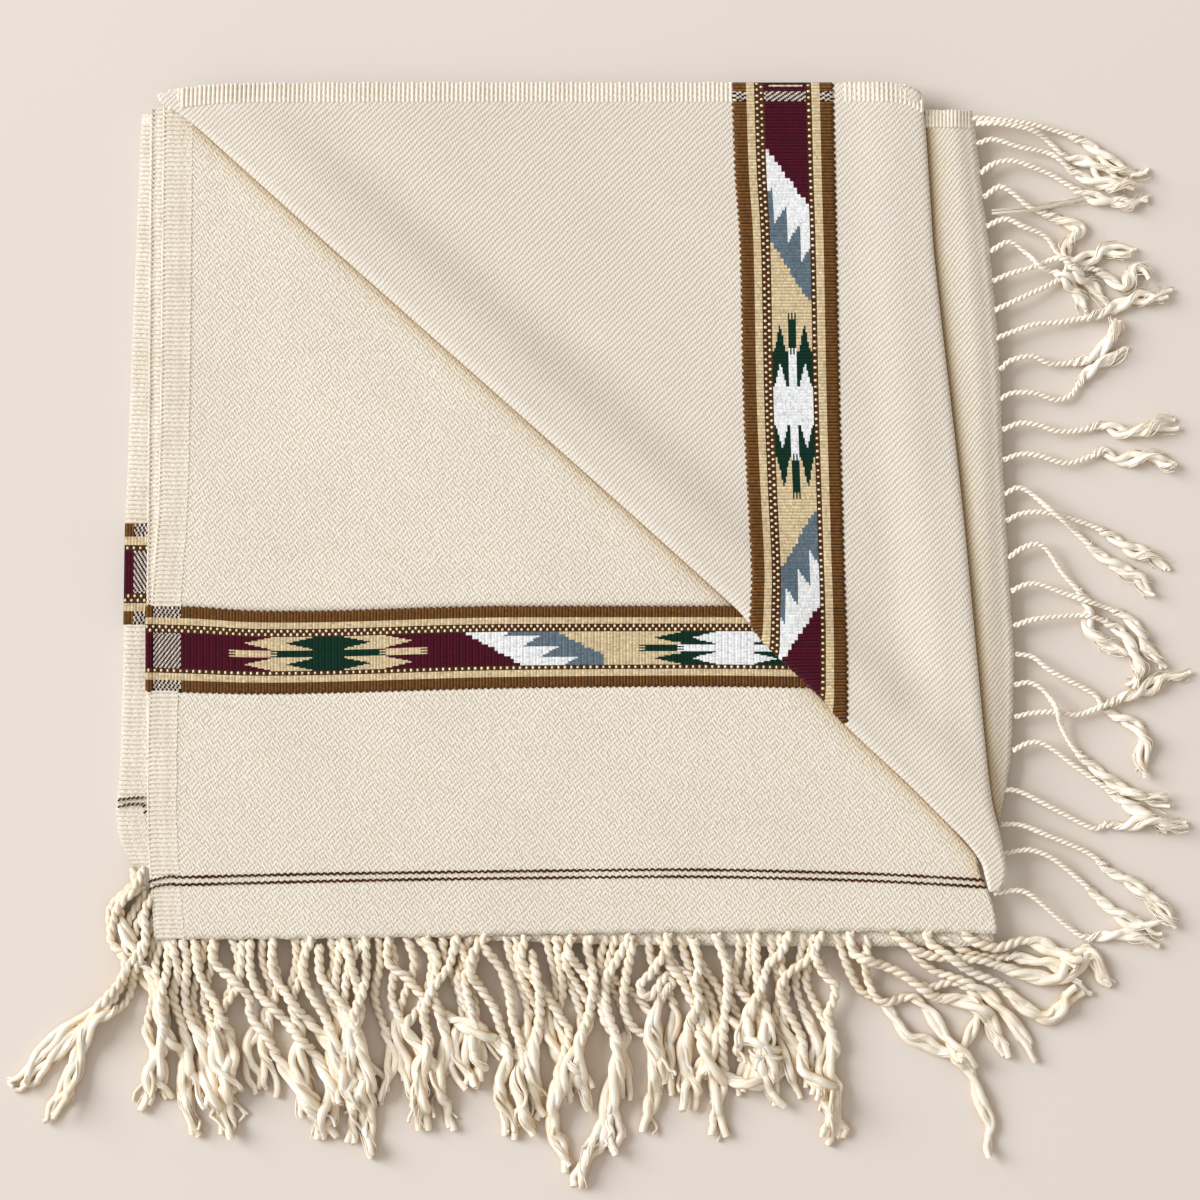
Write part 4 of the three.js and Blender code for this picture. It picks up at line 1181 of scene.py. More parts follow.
def drifting(tree, key, size, amount):
    """A smooth noise of each yarn's own, as an offset."""
    noise = add(tree, "ShaderNodeTexNoise", {
        "Vector": add(tree, "GeometryNodeInputPosition"), "W": key, "Scale": size, "Detail": 1.0},
        noise_dimensions="4D")
    centred = add(tree, "ShaderNodeVectorMath", {
        0: noise.outputs["Color"], 1: (0.5, 0.5, 0.5)}, operation="SUBTRACT")
    return add(tree, "ShaderNodeVectorMath", {0: centred, "Scale": amount}, operation="SCALE")


print("noise keys of two cords lie up to", KEY_STEP, "apart")

# %% [markdown]
# ## A twisted cord
# The plies run like the middle of a Z. The twist is a formula on how far along a point is, so
# cords of any length keep the same pitch.

# %% Tree for twisted cords
tree, given = new_tree("twisted_cord", [
    "Ply radius", "Spacing", "Pitch", "Step", "Flatness", "Drift", "Curl size"], ["Sides"])
along, number, own_girth, wander = [add(
    tree, "GeometryNodeInputNamedAttribute", {"Name": label}, data_type="FLOAT")
    for label in ("along", "number", "girth", "wander")]
curve = add(tree, "GeometryNodeMeshToCurve", {"Mesh": given["Geometry"]})
curve = add(tree, "GeometryNodeResampleCurve", {
    "Curve": curve, "Length": given["Step"]}, mode="LENGTH")
whole = add(tree, "ShaderNodeMath", {0: along, 1: given["Pitch"]}, operation="DIVIDE")
turns = add(tree, "ShaderNodeMath", {0: whole, 1: number}, operation="ADD")
# Handspun yarn is uneven, so the plies swell and thin by a quarter either way.
uneven = add(tree, "ShaderNodeTexNoise", {
    "Vector": add(tree, "GeometryNodeInputPosition"), "Scale": 70.0, "Detail": 1.0})
swell = add(tree, "ShaderNodeMath", {
    0: uneven.outputs["Fac"], 1: 0.5, 2: 0.75}, operation="MULTIPLY_ADD")
girth = add(tree, "ShaderNodeMath", {0: swell, 1: own_girth}, operation="MULTIPLY")
spacing = add(tree, "ShaderNodeMath", {0: given["Spacing"], 1: girth}, operation="MULTIPLY")
thickness = add(tree, "ShaderNodeMath", {0: given["Ply radius"], 1: girth}, operation="MULTIPLY")
reach = add(tree, "ShaderNodeMath", {0: wander, 1: given["Drift"]}, operation="MULTIPLY")
ring = profile_of(tree, given["Sides"], given["Ply radius"])
both = add(tree, "GeometryNodeJoinGeometry")
for half_turn in (0.0, 0.5):
    start = add(tree, "ShaderNodeMath", {0: turns, 1: half_turn}, operation="ADD")
    offset = helix(tree, start, spacing, given["Flatness"])
    # The loose yarns of this ply work out the same key, so both drift as one.
    key = add(tree, "ShaderNodeMath", {
        0: number, 1: KEY_STEP, 2: half_turn}, operation="MULTIPLY_ADD")
    drift = drifting(tree, key, given["Curl size"], reach)
    shift = add(tree, "ShaderNodeVectorMath", {0: offset, 1: drift}, operation="ADD")
    moved = add(tree, "GeometryNodeSetPosition", {"Geometry": curve, "Offset": shift})
    moved = above_board(tree, moved, thickness)
    swept = add(tree, "GeometryNodeCurveToMesh", {
        "Curve": moved, "Profile Curve": ring, "Scale": girth, "Fill Caps": True})
    tree.links.new(swept.outputs[0], both.inputs[0])
twist_tree = end_tree(tree, both, given)
print("twisted cord:", len(twist_tree.nodes), "nodes")

# %% [markdown]
# ## Loose ends
# Where a cord ends, its twist opens into a tuft. The tree copies the path once for each yarn. The
# yarns keep circling the path, ever wider and slower, with the ply that they come from. They drift
# with it, stray from it by a smooth noise of their own, and are cut at different lengths. None
# goes below the surface that the shawl lies on.

# %% Tree for loose ends
tree, given = new_tree("loose_end", [
    "Yarn radius", "Start radius", "End radius", "Drift", "Pitch", "Step", "Shortest",
    "Curl size", "Stray"], ["Yarns", "Sides"])
along, number, share, wander, copy = [add(
    tree, "GeometryNodeInputNamedAttribute", {"Name": label}, data_type="FLOAT")
    for label in ("along", "number", "share", "wander", "copy")]
curve = add(tree, "GeometryNodeMeshToCurve", {"Mesh": given["Geometry"]})
copies = add(tree, "GeometryNodeDuplicateElements", {
    "Geometry": curve, "Amount": given["Yarns"]}, domain="SPLINE")
marked = add(tree, "GeometryNodeStoreNamedAttribute", {
    "Geometry": copies.outputs["Geometry"], "Name": "copy",
    "Value": copies.outputs["Duplicate Index"]}, data_type="FLOAT", domain="CURVE")
own_key = add(tree, "ShaderNodeMath", {0: number, 1: KEY_STEP, 2: copy}, operation="MULTIPLY_ADD")
# Each yarn is cut at its own length.
length = add(tree, "FunctionNodeRandomValue", {
    2: given["Shortest"], 3: 1.0, "ID": own_key, "Seed": 5}, data_type="FLOAT")
cut = add(tree, "GeometryNodeTrimCurve", {"Curve": marked, "End": length.outputs[1]}, mode="FACTOR")
curve = add(tree, "GeometryNodeResampleCurve", {
    "Curve": cut, "Length": given["Step"]}, mode="LENGTH")
# It circles with its own ply, a little before or behind it.
phase = add(tree, "FunctionNodeRandomValue", {
    2: -0.15, 3: 0.15, "ID": own_key, "Seed": 9}, data_type="FLOAT")
odd = add(tree, "ShaderNodeMath", {0: copy, 1: 2.0}, operation="MODULO")
half = add(tree, "ShaderNodeMath", {0: odd, 1: 0.5}, operation="MULTIPLY")
whole = add(tree, "ShaderNodeMath", {0: along, 1: given["Pitch"]}, operation="DIVIDE")
turns = add(tree, "ShaderNodeMath", {0: whole, 1: number}, operation="ADD")
start = add(tree, "ShaderNodeMath", {0: half, 1: phase.outputs[1]}, operation="ADD")
turns = add(tree, "ShaderNodeMath", {0: turns, 1: start}, operation="ADD")
# Its distance from the path grows as the cord opens.
widening = add(tree, "ShaderNodeMath", {
    0: given["End radius"], 1: given["Start radius"]}, operation="SUBTRACT")
opened = add(tree, "ShaderNodeMath", {
    0: widening, 1: share, 2: given["Start radius"]}, operation="MULTIPLY_ADD")
inner = add(tree, "FunctionNodeRandomValue", {
    2: 0.45, 3: 1.0, "ID": own_key, "Seed": 21}, data_type="FLOAT")
outward = add(tree, "ShaderNodeMath", {0: opened, 1: inner.outputs[1]}, operation="MULTIPLY")
offset = helix(tree, turns, outward, 0.9)
reach = add(tree, "ShaderNodeMath", {0: wander, 1: given["Drift"]}, operation="MULTIPLY")
stray = add(tree, "ShaderNodeMath", {0: reach, 1: given["Stray"]}, operation="MULTIPLY")
ply_key = add(tree, "ShaderNodeMath", {0: number, 1: KEY_STEP, 2: half}, operation="MULTIPLY_ADD")
together = drifting(tree, ply_key, given["Curl size"], reach)
alone = drifting(tree, own_key, given["Curl size"], stray)
shift = add(tree, "ShaderNodeVectorMath", {0: offset, 1: together}, operation="ADD")
shift = add(tree, "ShaderNodeVectorMath", {0: shift, 1: alone}, operation="ADD")
moved = add(tree, "GeometryNodeSetPosition", {"Geometry": curve, "Offset": shift})
moved = above_board(tree, moved, given["Yarn radius"])
thin = add(tree, "ShaderNodeMath", {0: share, 1: -0.4, 2: 1.0}, operation="MULTIPLY_ADD")
ring = profile_of(tree, given["Sides"], given["Yarn radius"])
swept = add(tree, "GeometryNodeCurveToMesh", {
    "Curve": moved, "Profile Curve": ring, "Scale": thin, "Fill Caps": True})
loose_tree = end_tree(tree, swept, given)
print("loose end:", len(loose_tree.nodes), "nodes")

# %% [markdown]
# ## Ribs along an edge
# A selvedge is bound with weft that wraps round it, so it shows as a row of short ribs at right
# angles to the edge. That is one small shape repeated at a pitch along a path, which is what
# Instance on Points does. The rib lies along the path's aside, and its far end may droop.

# %% Tree for ribs
tree, given = new_tree("ribs", [
    "Pitch", "Rib length", "Rib radius", "Droop", "Unevenness"], ["Sides"])
curve = add(tree, "GeometryNodeMeshToCurve", {"Mesh": given["Geometry"]})
spots = add(tree, "GeometryNodeCurveToPoints", {
    "Curve": curve, "Length": given["Pitch"]}, mode="LENGTH")
reach = add(tree, "ShaderNodeCombineXYZ", {0: given["Rib length"]})
line = add(tree, "GeometryNodeCurvePrimitiveLine", {"End": reach})
line = add(tree, "GeometryNodeResampleCurve", {"Curve": line, "Count": 8}, mode="COUNT")
part = add(tree, "GeometryNodeSplineParameter").outputs["Factor"]
square = add(tree, "ShaderNodeMath", {0: part, 1: part}, operation="MULTIPLY")
sag = add(tree, "ShaderNodeMath", {0: square, 1: given["Droop"]}, operation="MULTIPLY")
fall = add(tree, "ShaderNodeMath", {0: sag, 1: -1.0}, operation="MULTIPLY")
line = add(tree, "GeometryNodeSetPosition", {
    "Geometry": line, "Offset": add(tree, "ShaderNodeCombineXYZ", {2: fall})})
# A rib is a little plumper where each turn of weft lies, two and a bit times along it.
beat = add(tree, "ShaderNodeMath", {0: part, 1: 14.0}, operation="MULTIPLY")
bulge = add(tree, "ShaderNodeMath", {0: beat}, operation="SINE")
plump = add(tree, "ShaderNodeMath", {0: bulge, 1: 0.14, 2: 0.95}, operation="MULTIPLY_ADD")
length = add(tree, "ShaderNodeMath", {0: part, 1: given["Rib length"]}, operation="MULTIPLY")
line = add(tree, "GeometryNodeStoreNamedAttribute", {
    "Geometry": line, "Name": "along", "Value": length}, data_type="FLOAT", domain="POINT")
ring = profile_of(tree, given["Sides"], given["Rib radius"])
bar = add(tree, "GeometryNodeCurveToMesh", {
    "Curve": line, "Profile Curve": ring, "Scale": plump, "Fill Caps": True})
aside = add(tree, "GeometryNodeInputNamedAttribute", {"Name": "aside"}, data_type="FLOAT_VECTOR")
facing = add(tree, "FunctionNodeAlignRotationToVector", {"Vector": aside}, axis="X", pivot_axis="Z")
smallest = add(tree, "ShaderNodeMath", {0: 1.0, 1: given["Unevenness"]}, operation="SUBTRACT")
spread = add(tree, "FunctionNodeRandomValue", {2: smallest, 3: 1.0, "Seed": 3}, data_type="FLOAT")
ribs = add(tree, "GeometryNodeInstanceOnPoints", {
    "Points": spots.outputs["Points"], "Instance": bar, "Rotation": facing,
    "Scale": spread.outputs[1]})
rib_tree = end_tree(tree, ribs, given)
print("ribs:", len(rib_tree.nodes), "nodes")

# %% [markdown]
# ## Beads along a row
# The dots of the bands are floats of a pale yarn. The same way places a small ball for each. The
# balls are stretched along the row and pressed flat, each a little differently.

# %% Tree for beads
tree, given = new_tree("beads", ["Pitch", "Bead radius"])
curve = add(tree, "GeometryNodeMeshToCurve", {"Mesh": given["Geometry"]})
spots = add(tree, "GeometryNodeCurveToPoints", {
    "Curve": curve, "Length": given["Pitch"]}, mode="LENGTH")
ball = add(tree, "GeometryNodeMeshIcoSphere", {"Radius": given["Bead radius"], "Subdivisions": 1})
aside = add(tree, "GeometryNodeInputNamedAttribute", {"Name": "aside"}, data_type="FLOAT_VECTOR")
facing = add(tree, "FunctionNodeAlignRotationToVector", {"Vector": aside}, axis="Y", pivot_axis="Z")
spread = add(tree, "FunctionNodeRandomValue", {
    0: (0.8, 1.0, 0.5), 1: (1.05, 1.35, 0.7), "Seed": 8}, data_type="FLOAT_VECTOR")
beads = add(tree, "GeometryNodeInstanceOnPoints", {
    "Points": spots.outputs["Points"], "Instance": ball.outputs["Mesh"], "Rotation": facing,
    "Scale": spread.outputs[0]})
bead_tree = end_tree(tree, beads, given)
print("beads:", len(bead_tree.nodes), "nodes")

# %% [markdown]
# ## Selvedges and edge lines
# At the left each ply shows its bound selvedge: 17.5 mm of it on the front and lower plies, and a
# sliver on the one between. A thin twisted line closes each edge. The ribs are 2.5 mm apart on the
# real cloth, and drawn 2.8 mm apart so that they show.

# %% Selvedges at the left
def edge_path(ply, y0, y1, z, inset, count=120):
    """A path up a ply's left edge, a little in from it."""
    y = np.linspace(y0, y1, count)
    x = ply["left"](y) + inset
    return np.stack([x, y, z + waves(x, y)], axis=1)


RIGHTWARD = (1.0, 0.0, 0.0)
RIB_RISE = CLOTH / 2 - 0.35  # ribs are sunk into the cloth's face a little
SELVEDGE = {"Pitch": 2.8 * MM, "Rib_length": 17.4 * MM, "Rib_radius": 1.22 * MM,
            "Droop": 0.3 * MM, "Sides": 6, "Unevenness": 0.03}


def selvedge(name, ply, z, stretches):
    """Ribs along two stretches of a ply's left edge, below and above its band."""
    edges = [edge_path(ply, y0, y1, z + RIB_RISE, 0.4) for y0, y1 in stretches]
    return grow(name, path_mesh(edges, [RIGHTWARD] * 2), rib_tree, edge_wool, **SELVEDGE)


front_selvedge = selvedge("front_selvedge", FRONT, FRONT_Z, ((1, 154), (208, 522)))
lower_selvedge = selvedge("lower_selvedge", BACK, BACK_Z, ((47, 195), (260, 508)))
middle_edge = edge_path(SECOND, 4, 518, SECOND_Z + RIB_RISE, 0.3)
middle_selvedge = grow(
    "middle_selvedge", path_mesh([middle_edge], [RIGHTWARD]), rib_tree,
    edge_wool, Pitch=2.8 * MM, Rib_length=9.0 * MM, Rib_radius=1.15 * MM, Droop=0.0, Sides=5,
    Unevenness=0.05)
edge_lines = [
    edge_path(SECOND, 4, 518, SECOND_Z + 0.7, 0.2),
    edge_path(FRONT, 1, 154, FRONT_Z + 0.5, 0.1),
    edge_path(FRONT, 208, 520, FRONT_Z + 0.5, 0.1),
]
edge_braids = grow(
    "edge_braids", path_mesh(edge_lines), twist_tree, edge_wool,
    Ply_radius=0.62 * MM, Spacing=0.6 * MM, Pitch=6.0 * MM, Step=1.5 * MM, Sides=4, Flatness=0.7,
    Drift=0.0)


print("edge lines:", [round(float(lengths_along(line)[-1])) for line in edge_lines], "mm")

# %% [markdown]
# ## Top edges
# The flap and its end strip show short ribs along their top, which bend down over the stack.

# %% Ribs of the top edges
def top_edge_path(x0, x1):
    """A path under the flap's top edge, where its ribs start."""
    x = np.linspace(x0, x1, 140)
    y = FLAP["top"](x) - 12.0
    z = np.array([float(flap_surface(a, min(b, FLAP_TOP))) for a, b in zip(x, y)])
    return np.stack([x, y, z - 0.35], axis=1)


UPWARD = (0.0, 1.0, 0.0)
top_edges = [top_edge_path(9.5, 362), top_edge_path(431, 478)]
flap_ribs = grow(
    "flap_top_ribs", path_mesh(top_edges, [UPWARD] * 2), rib_tree, edge_wool,
    Pitch=2.75 * MM, Rib_length=12.4 * MM, Rib_radius=1.5 * MM, Droop=2.7 * MM, Sides=6,
    Unevenness=0.06)
end_x = np.linspace(479, 508, 40)
end_top = np.stack([end_x, 0 * end_x + 506.2, end_height(end_x, 506.2) + 0.1], axis=1)
end_ribs = grow(
    "end_top_ribs", path_mesh([end_top], [UPWARD]), rib_tree, edge_wool,
    Pitch=2.2 * MM, Rib_length=11.0 * MM, Rib_radius=1.3 * MM, Droop=0.4 * MM, Sides=8,
    Unevenness=0.05)

# %% [markdown]
# ## Pinstripes
# Two dark pinstripes run along the hem. Each is a pick of dark brown yarn that goes over and under
# the pale warp, so it shows as a fine wavy line. Within the selvedge it shows as slanting ticks.

# %% Pinstripes
def on_ply(points, z):
    """Puts plan points on the ply at a height."""
    return np.stack([points[:, 0], points[:, 1], z + waves(points[:, 0], points[:, 1])], axis=1)


def stripe_pair(name, lines, z, wave_length=4.1):
    """Dark yarns that dip from side to side, as each goes over and under the warp."""
    paths = [smooth_path(on_ply(line, z), 0.7) for line in lines]
    for path in paths:
        path[:, 1] += 0.62 * np.sin(2 * math.pi * lengths_along(path) / wave_length)
    return grow(
        name, path_mesh(paths), twist_tree, dark_yarn, Ply_radius=0.6 * MM,
        Spacing=0.2 * MM, Pitch=wave_length * MM, Step=0.8 * MM, Sides=4, Flatness=0.5, Drift=0.0)


def ticked(name, lines, z):
    """The same lines in a selvedge, where each yarn shows as a short slanting tick."""
    paths = [smooth_path(on_ply(line, z), 1.5) for line in lines]
    slant = [(math.cos(0.7), math.sin(0.7), 0)] * len(paths)
    return grow(name, path_mesh(paths, slant), rib_tree, dark_yarn, Pitch=2.6 * MM,
                Rib_length=2.6 * MM, Rib_radius=0.68 * MM, Droop=0.0, Sides=5, Unevenness=0.2)


pinstripes = stripe_pair("pinstripes", [
    squares((172, 877), (200, 876.5), (300, 874), (400, 872.5), (550, 870.5), (700, 869.5),
            (850, 873), (930, 876.5), (984, 880)),
    squares((172, 884.5), (200, 884), (300, 881.5), (400, 879.5), (550, 877.5), (700, 876.5),
            (850, 880), (930, 883.5), (986, 887)),
], FRONT_Z + 0.85)
front_ticks = ticked("front_ticks", [
    squares((149.5, 882), (154, 880.5), (162, 878.5), (172, 877)),
    squares((149.5, 889.5), (154, 887.5), (162, 885.8), (172, 884.5))], FRONT_Z + 1.5)
lower_ticks = ticked("lower_ticks", [
    squares((118, 801), (128, 799.5), (141, 798.5)),
    squares((118, 807.5), (128, 805.5), (141, 805))], BACK_Z + 2.1)
middle_ticks = ticked("middle_ticks", [
    squares((143, 807), (148, 807.5)), squares((144, 813), (148, 813))], SECOND_Z + 2.0)

white_line = grow(
    "cap_line", path_mesh([cap_line]), twist_tree, bead_yarn, Ply_radius=0.45 * MM,
    Spacing=0.3 * MM, Pitch=9.0 * MM, Step=1.5 * MM, Sides=5, Flatness=0.3, Drift=0.0)

# %% [markdown]
# ## Dots
# Rows of dots edge the bands' fields, 4 mm apart. At this size a ball of 80 faces is round enough.

# %% Dots of the bands
def dot_rows(point_at, length):
    """Paths of the rows of dots along a band: two on one side, half a pitch apart, and one."""
    rows = []
    for share, first in ((0.236, 0.0), (0.281, 2.0), (0.761, 1.0)):
        along = np.arange(first + 1.0, length, 4.0)
        row = point_at(along[None, :], np.full((1, len(along)), share))[0]
        rows.append(row + np.array([0, 0, 0.75]))
    return rows


def dots(name, rows):
    """The beads of a band's rows."""
    return grow(name, path_mesh(rows), bead_tree, bead_yarn, Pitch=4.0 * MM, Bead_radius=0.98 * MM)


front_dots = dots("front_dots", dot_rows(front_band_point, 414))
lower_dots = dots("lower_dots", dot_rows(back_band_point, 26))
flap_dots = dots("flap_dots", [
    row[row[:, 0] > FLAP["fold"](row[:, 1]) + 1.5] for row in dot_rows(flap_band_point, 398)])

# %% [markdown]
# ## The fringe
# Each cord is planned as a few places on the squared paper, in the loose curves in which it fell.
# Cords are laid one by one: each sinks from its ply to the surface, and where it crosses a cord
# that was laid before, it is lifted over that one.

# %% Laying the cords
CORD = 2.25  # half the distance that two crossing cords keep between their middles


def laid(plans, root_z, low_z, settle=(0.05, 0.7), under=(), step=2.5, longer=0.0):
    """3-D paths of cords laid in turn, over those in under and over each other. Their height goes
    from root_z to low_z between the two shares in settle."""
    below = list(under)
    done = []
    for i, plan in enumerate(plans):
        flat = squares(*plan)
        if longer:
            tail = flat[-1] - flat[-2]
            flat = np.vstack([flat, flat[-1] + tail / np.linalg.norm(tail) * longer])
        path = smooth_path(np.column_stack([flat, np.zeros(len(flat))]), step)
        reach = lengths_along(path)
        share = reach / reach[-1]
        root = root_z(path[0]) if callable(root_z) else root_z
        height = mix(root, low_z, ease(settle[0], settle[1], share))
        need = height.copy()
        for other in below:
            middle = path[:, :2].mean(axis=0)
            near = (np.abs(other[:, :2] - middle) < 90).all(axis=1)
            if not near.any():
                continue
            gap = path[:, None, :2] - other[None, near, :2]
            apart = np.hypot(gap[..., 0], gap[..., 1])
            over = other[None, near, 2] + np.sqrt(np.maximum((2 * CORD) ** 2 - apart**2, 0))
            need = np.maximum(need, np.where(apart < 2 * CORD, over, 0).max(axis=1))
        lift = np.clip(need - height, 0, 8)
        wide = np.maximum.reduce([np.roll(np.pad(lift, 2), s)[2:-2] for s in (-1, 0, 1)])
        weights = np.array([0.06, 0.24, 0.4, 0.24, 0.06])
        soft = np.convolve(np.pad(wide, 2, mode="edge"), weights, mode="valid")
        soft *= ease(0, 9, reach)
        path[:, 2] = height + soft
        below.append(path)
        done.append(path)
    return done


def open_lengths(paths, least, most):
    """How much of each cord has come untwisted: a share of its length that differs a little."""
    shares = mix(least, most, np.random.default_rng(len(paths)).random(len(paths)))
    return [lengths_along(path)[-1] * share for path, share in zip(paths, shares)]


def spread_of(paths):
    """How many cords there are, and their least, middle and greatest length."""
    found = sorted(float(lengths_along(path)[-1]) for path in paths)
    middle = found[len(found) // 2]
    return f"{len(found)} cords, {found[0]:.0f}, {middle:.0f} and {found[-1]:.0f} mm long"


sample = laid([[(0, 0), (40, 10), (80, 0)]], 12.0, 2.6)[0]
print("a cord over 80 squares sinks from", round(sample[0, 2], 1), "to", round(sample[-1, 2], 1))

# %% [markdown]
# ## The right fringe
# The cords of the flap's end lie apart, so each shows whole: a firm cord that opens halfway into a
# tuft. One thin wisp of broken warp lies among them.

# %% Plans of the right cords
RIGHT_PLANS = [
    [(973, 117.5), (1006, 120), (1036, 124.5), (1067, 133), (1087, 142), (1107, 157), (1136, 172.6),
     (1151, 169.6)],
    [(977, 123), (1006, 124.5), (1036, 131), (1055, 145), (1067, 156), (1090, 160.5), (1102, 171),
     (1128, 182)],
    [(977, 143.6), (994, 139), (1021, 146.6), (1052, 153), (1076, 171), (1098, 182), (1136, 185)],
    [(981, 172.7), (994, 163.5), (1010, 160.4), (1026, 163.5), (1052, 173.4), (1067, 182),
     (1090, 194), (1113, 200), (1150, 197)],
    [(984, 197), (1000, 186.4), (1013.6, 192.6), (1033.5, 208), (1067, 220), (1081, 231),
     (1070, 243), (1070, 258)],
    [(987, 226), (1006, 218.6), (1024, 226), (1046, 235), (1058, 251), (1066, 260), (1093, 255),
     (1105, 249), (1136, 246)],
    [(993, 281), (1010, 273.7), (1036, 266), (1059, 258), (1076, 267.6), (1098, 269), (1125, 287.5),
     (1136, 267.6), (1151, 278)],
    [(995, 310), (1021, 298), (1058, 280), (1070, 266), (1082, 278), (1098, 289), (1107, 304)],
    [(991, 251), (1010, 241.5), (1026, 252), (1040, 266), (1067, 278), (1079, 293.6), (1090, 310)],
    [(997, 338), (1013.6, 331.5), (1036, 324), (1067, 321), (1105, 312), (1128, 301),
     (1174, 293.6)],
    [(1000.6, 370), (1010.5, 360.6), (1033.5, 356), (1055, 363.7), (1093, 357.5), (1107, 345),
     (1113, 334.6), (1118, 322)],
    [(1001, 399), (1012, 393), (1036, 393), (1058, 399.6), (1073, 394), (1082, 380.5), (1095, 368),
     (1125, 345)],
    [(1003, 429.5), (1021, 423), (1040, 425), (1059, 431), (1082, 430), (1105, 425), (1128, 433),
     (1159, 425), (1175, 424)],
    [(1003.6, 460), (1021, 454), (1040, 455.5), (1067, 463), (1090, 457), (1105, 451), (1121, 461),
     (1151, 457), (1180, 464.7)],
    [(1006.7, 521), (1021, 513.7), (1040, 512), (1058, 515), (1098, 527.5), (1128, 547),
     (1151, 555), (1166.6, 568.8)],
    [(1005, 494), (1018, 487.6), (1030, 492), (1046, 506), (1079, 533.6), (1107, 559.6),
     (1136, 577.6), (1153, 597.6)],
    [(1009, 558), (1021, 549), (1036, 544), (1047, 549), (1064, 573), (1082, 593), (1090, 608),
     (1092, 631), (1128, 657)],
    [(1012, 591), (1026, 584.5), (1040, 584), (1059, 591), (1105, 606.7), (1128, 617),
     (1143.7, 636), (1163.6, 669.5)],
    [(1014, 626), (1036, 619), (1067, 616), (1090, 616), (1110, 623.6), (1128, 639), (1142, 674),
     (1128, 691)],
    [(1016, 654), (1033.5, 657), (1052, 671), (1095, 694), (1107, 711), (1140.6, 730.7),
     (1146.7, 773.6)],
    [(1015, 717), (1033.5, 713), (1059, 712), (1079, 715), (1107, 704.7), (1151, 688), (1188, 671)],
    [(1015, 685), (1029, 682.5), (1042.6, 689), (1055, 706), (1061, 723), (1073, 746),
     (1095, 767.5), (1136, 795), (1171, 805.7)],
    [(1013.6, 750.6), (1029, 743), (1045.7, 744.5), (1076, 766), (1110, 790), (1145, 815),
     (1170, 830)],
    [(1006, 789.7), (1021, 792), (1055, 809), (1095, 829), (1107, 825), (1128, 827.5), (1151, 820),
     (1186, 827)],
    [(1001, 824.5), (1021, 825), (1044, 833.7), (1090, 853.6), (1113, 873.5), (1136, 885.7),
     (1174, 925.5)],
    [(1004, 853.6), (1021, 850.5), (1033.5, 850.5), (1055, 859.7), (1087, 885.7), (1121, 916),
     (1162, 927)],
    [(994, 893), (1013.6, 890), (1026, 892), (1041, 902.6), (1073, 930), (1090, 938), (1136, 934.7),
     (1157.5, 945)],
]
print("right cords planned:", len(RIGHT_PLANS))

# %% [markdown]
# Now the cords are laid and grown. The tufts follow the same paths, from where each cord opens.

# %% Cords of the flap's end, at the right
def end_root(place):
    """The height at which a cord leaves the flap's end."""
    return float(end_height(place[0], place[1])) - 0.2


right_paths = laid(RIGHT_PLANS, end_root, 2.6, (0.12, 0.62))
right_open = open_lengths(right_paths, 0.40, 0.52)
print("right fringe:", spread_of(right_paths))
RIGHT_TWIST = {"Pitch": 7.4 * MM, "Drift": 18.0 * MM, "Curl_size": 55.0}
right_cords = grow(
    "right_cords", path_mesh(right_paths, None, 1, right_open, 1.35, 0.4),
    twist_tree, loose_wool, **RIGHT_TWIST, Ply_radius=1.02 * MM, Spacing=0.92 * MM,
    Step=1.0 * MM, Sides=6, Flatness=0.9)
right_tufts = grow(
    "right_tufts", path_mesh(right_paths, None, 1, right_open, ends_only=True),
    loose_tree, loose_wool, **RIGHT_TWIST, Yarns=20, Yarn_radius=0.5 * MM, Start_radius=2.6 * MM,
    End_radius=6.2 * MM, Step=1.6 * MM, Sides=3, Shortest=0.72, Stray=0.8)

WISP_PLAN = [(992, 212), (1010, 211), (1030, 209), (1055, 204), (1080, 198), (1100, 195)]
wisp_path = laid([WISP_PLAN], end_root, 2.2)
right_wisp = grow(
    "right_wisp", path_mesh(wisp_path, None, 6, [75.0], ends_only=True), loose_tree,
    loose_wool, Yarns=26, Yarn_radius=0.28 * MM, Start_radius=1.3 * MM, End_radius=4.2 * MM,
    Drift=5.0 * MM, Pitch=60.0 * MM, Step=3.0 * MM, Sides=3, Shortest=0.75, Curl_size=40.0,
    Stray=1.0)

# %% [markdown]
# ## The front and lower fringes
# Two plies end at the bottom edge. Their cords are thicker and softer than those at the right, and
# open earlier.

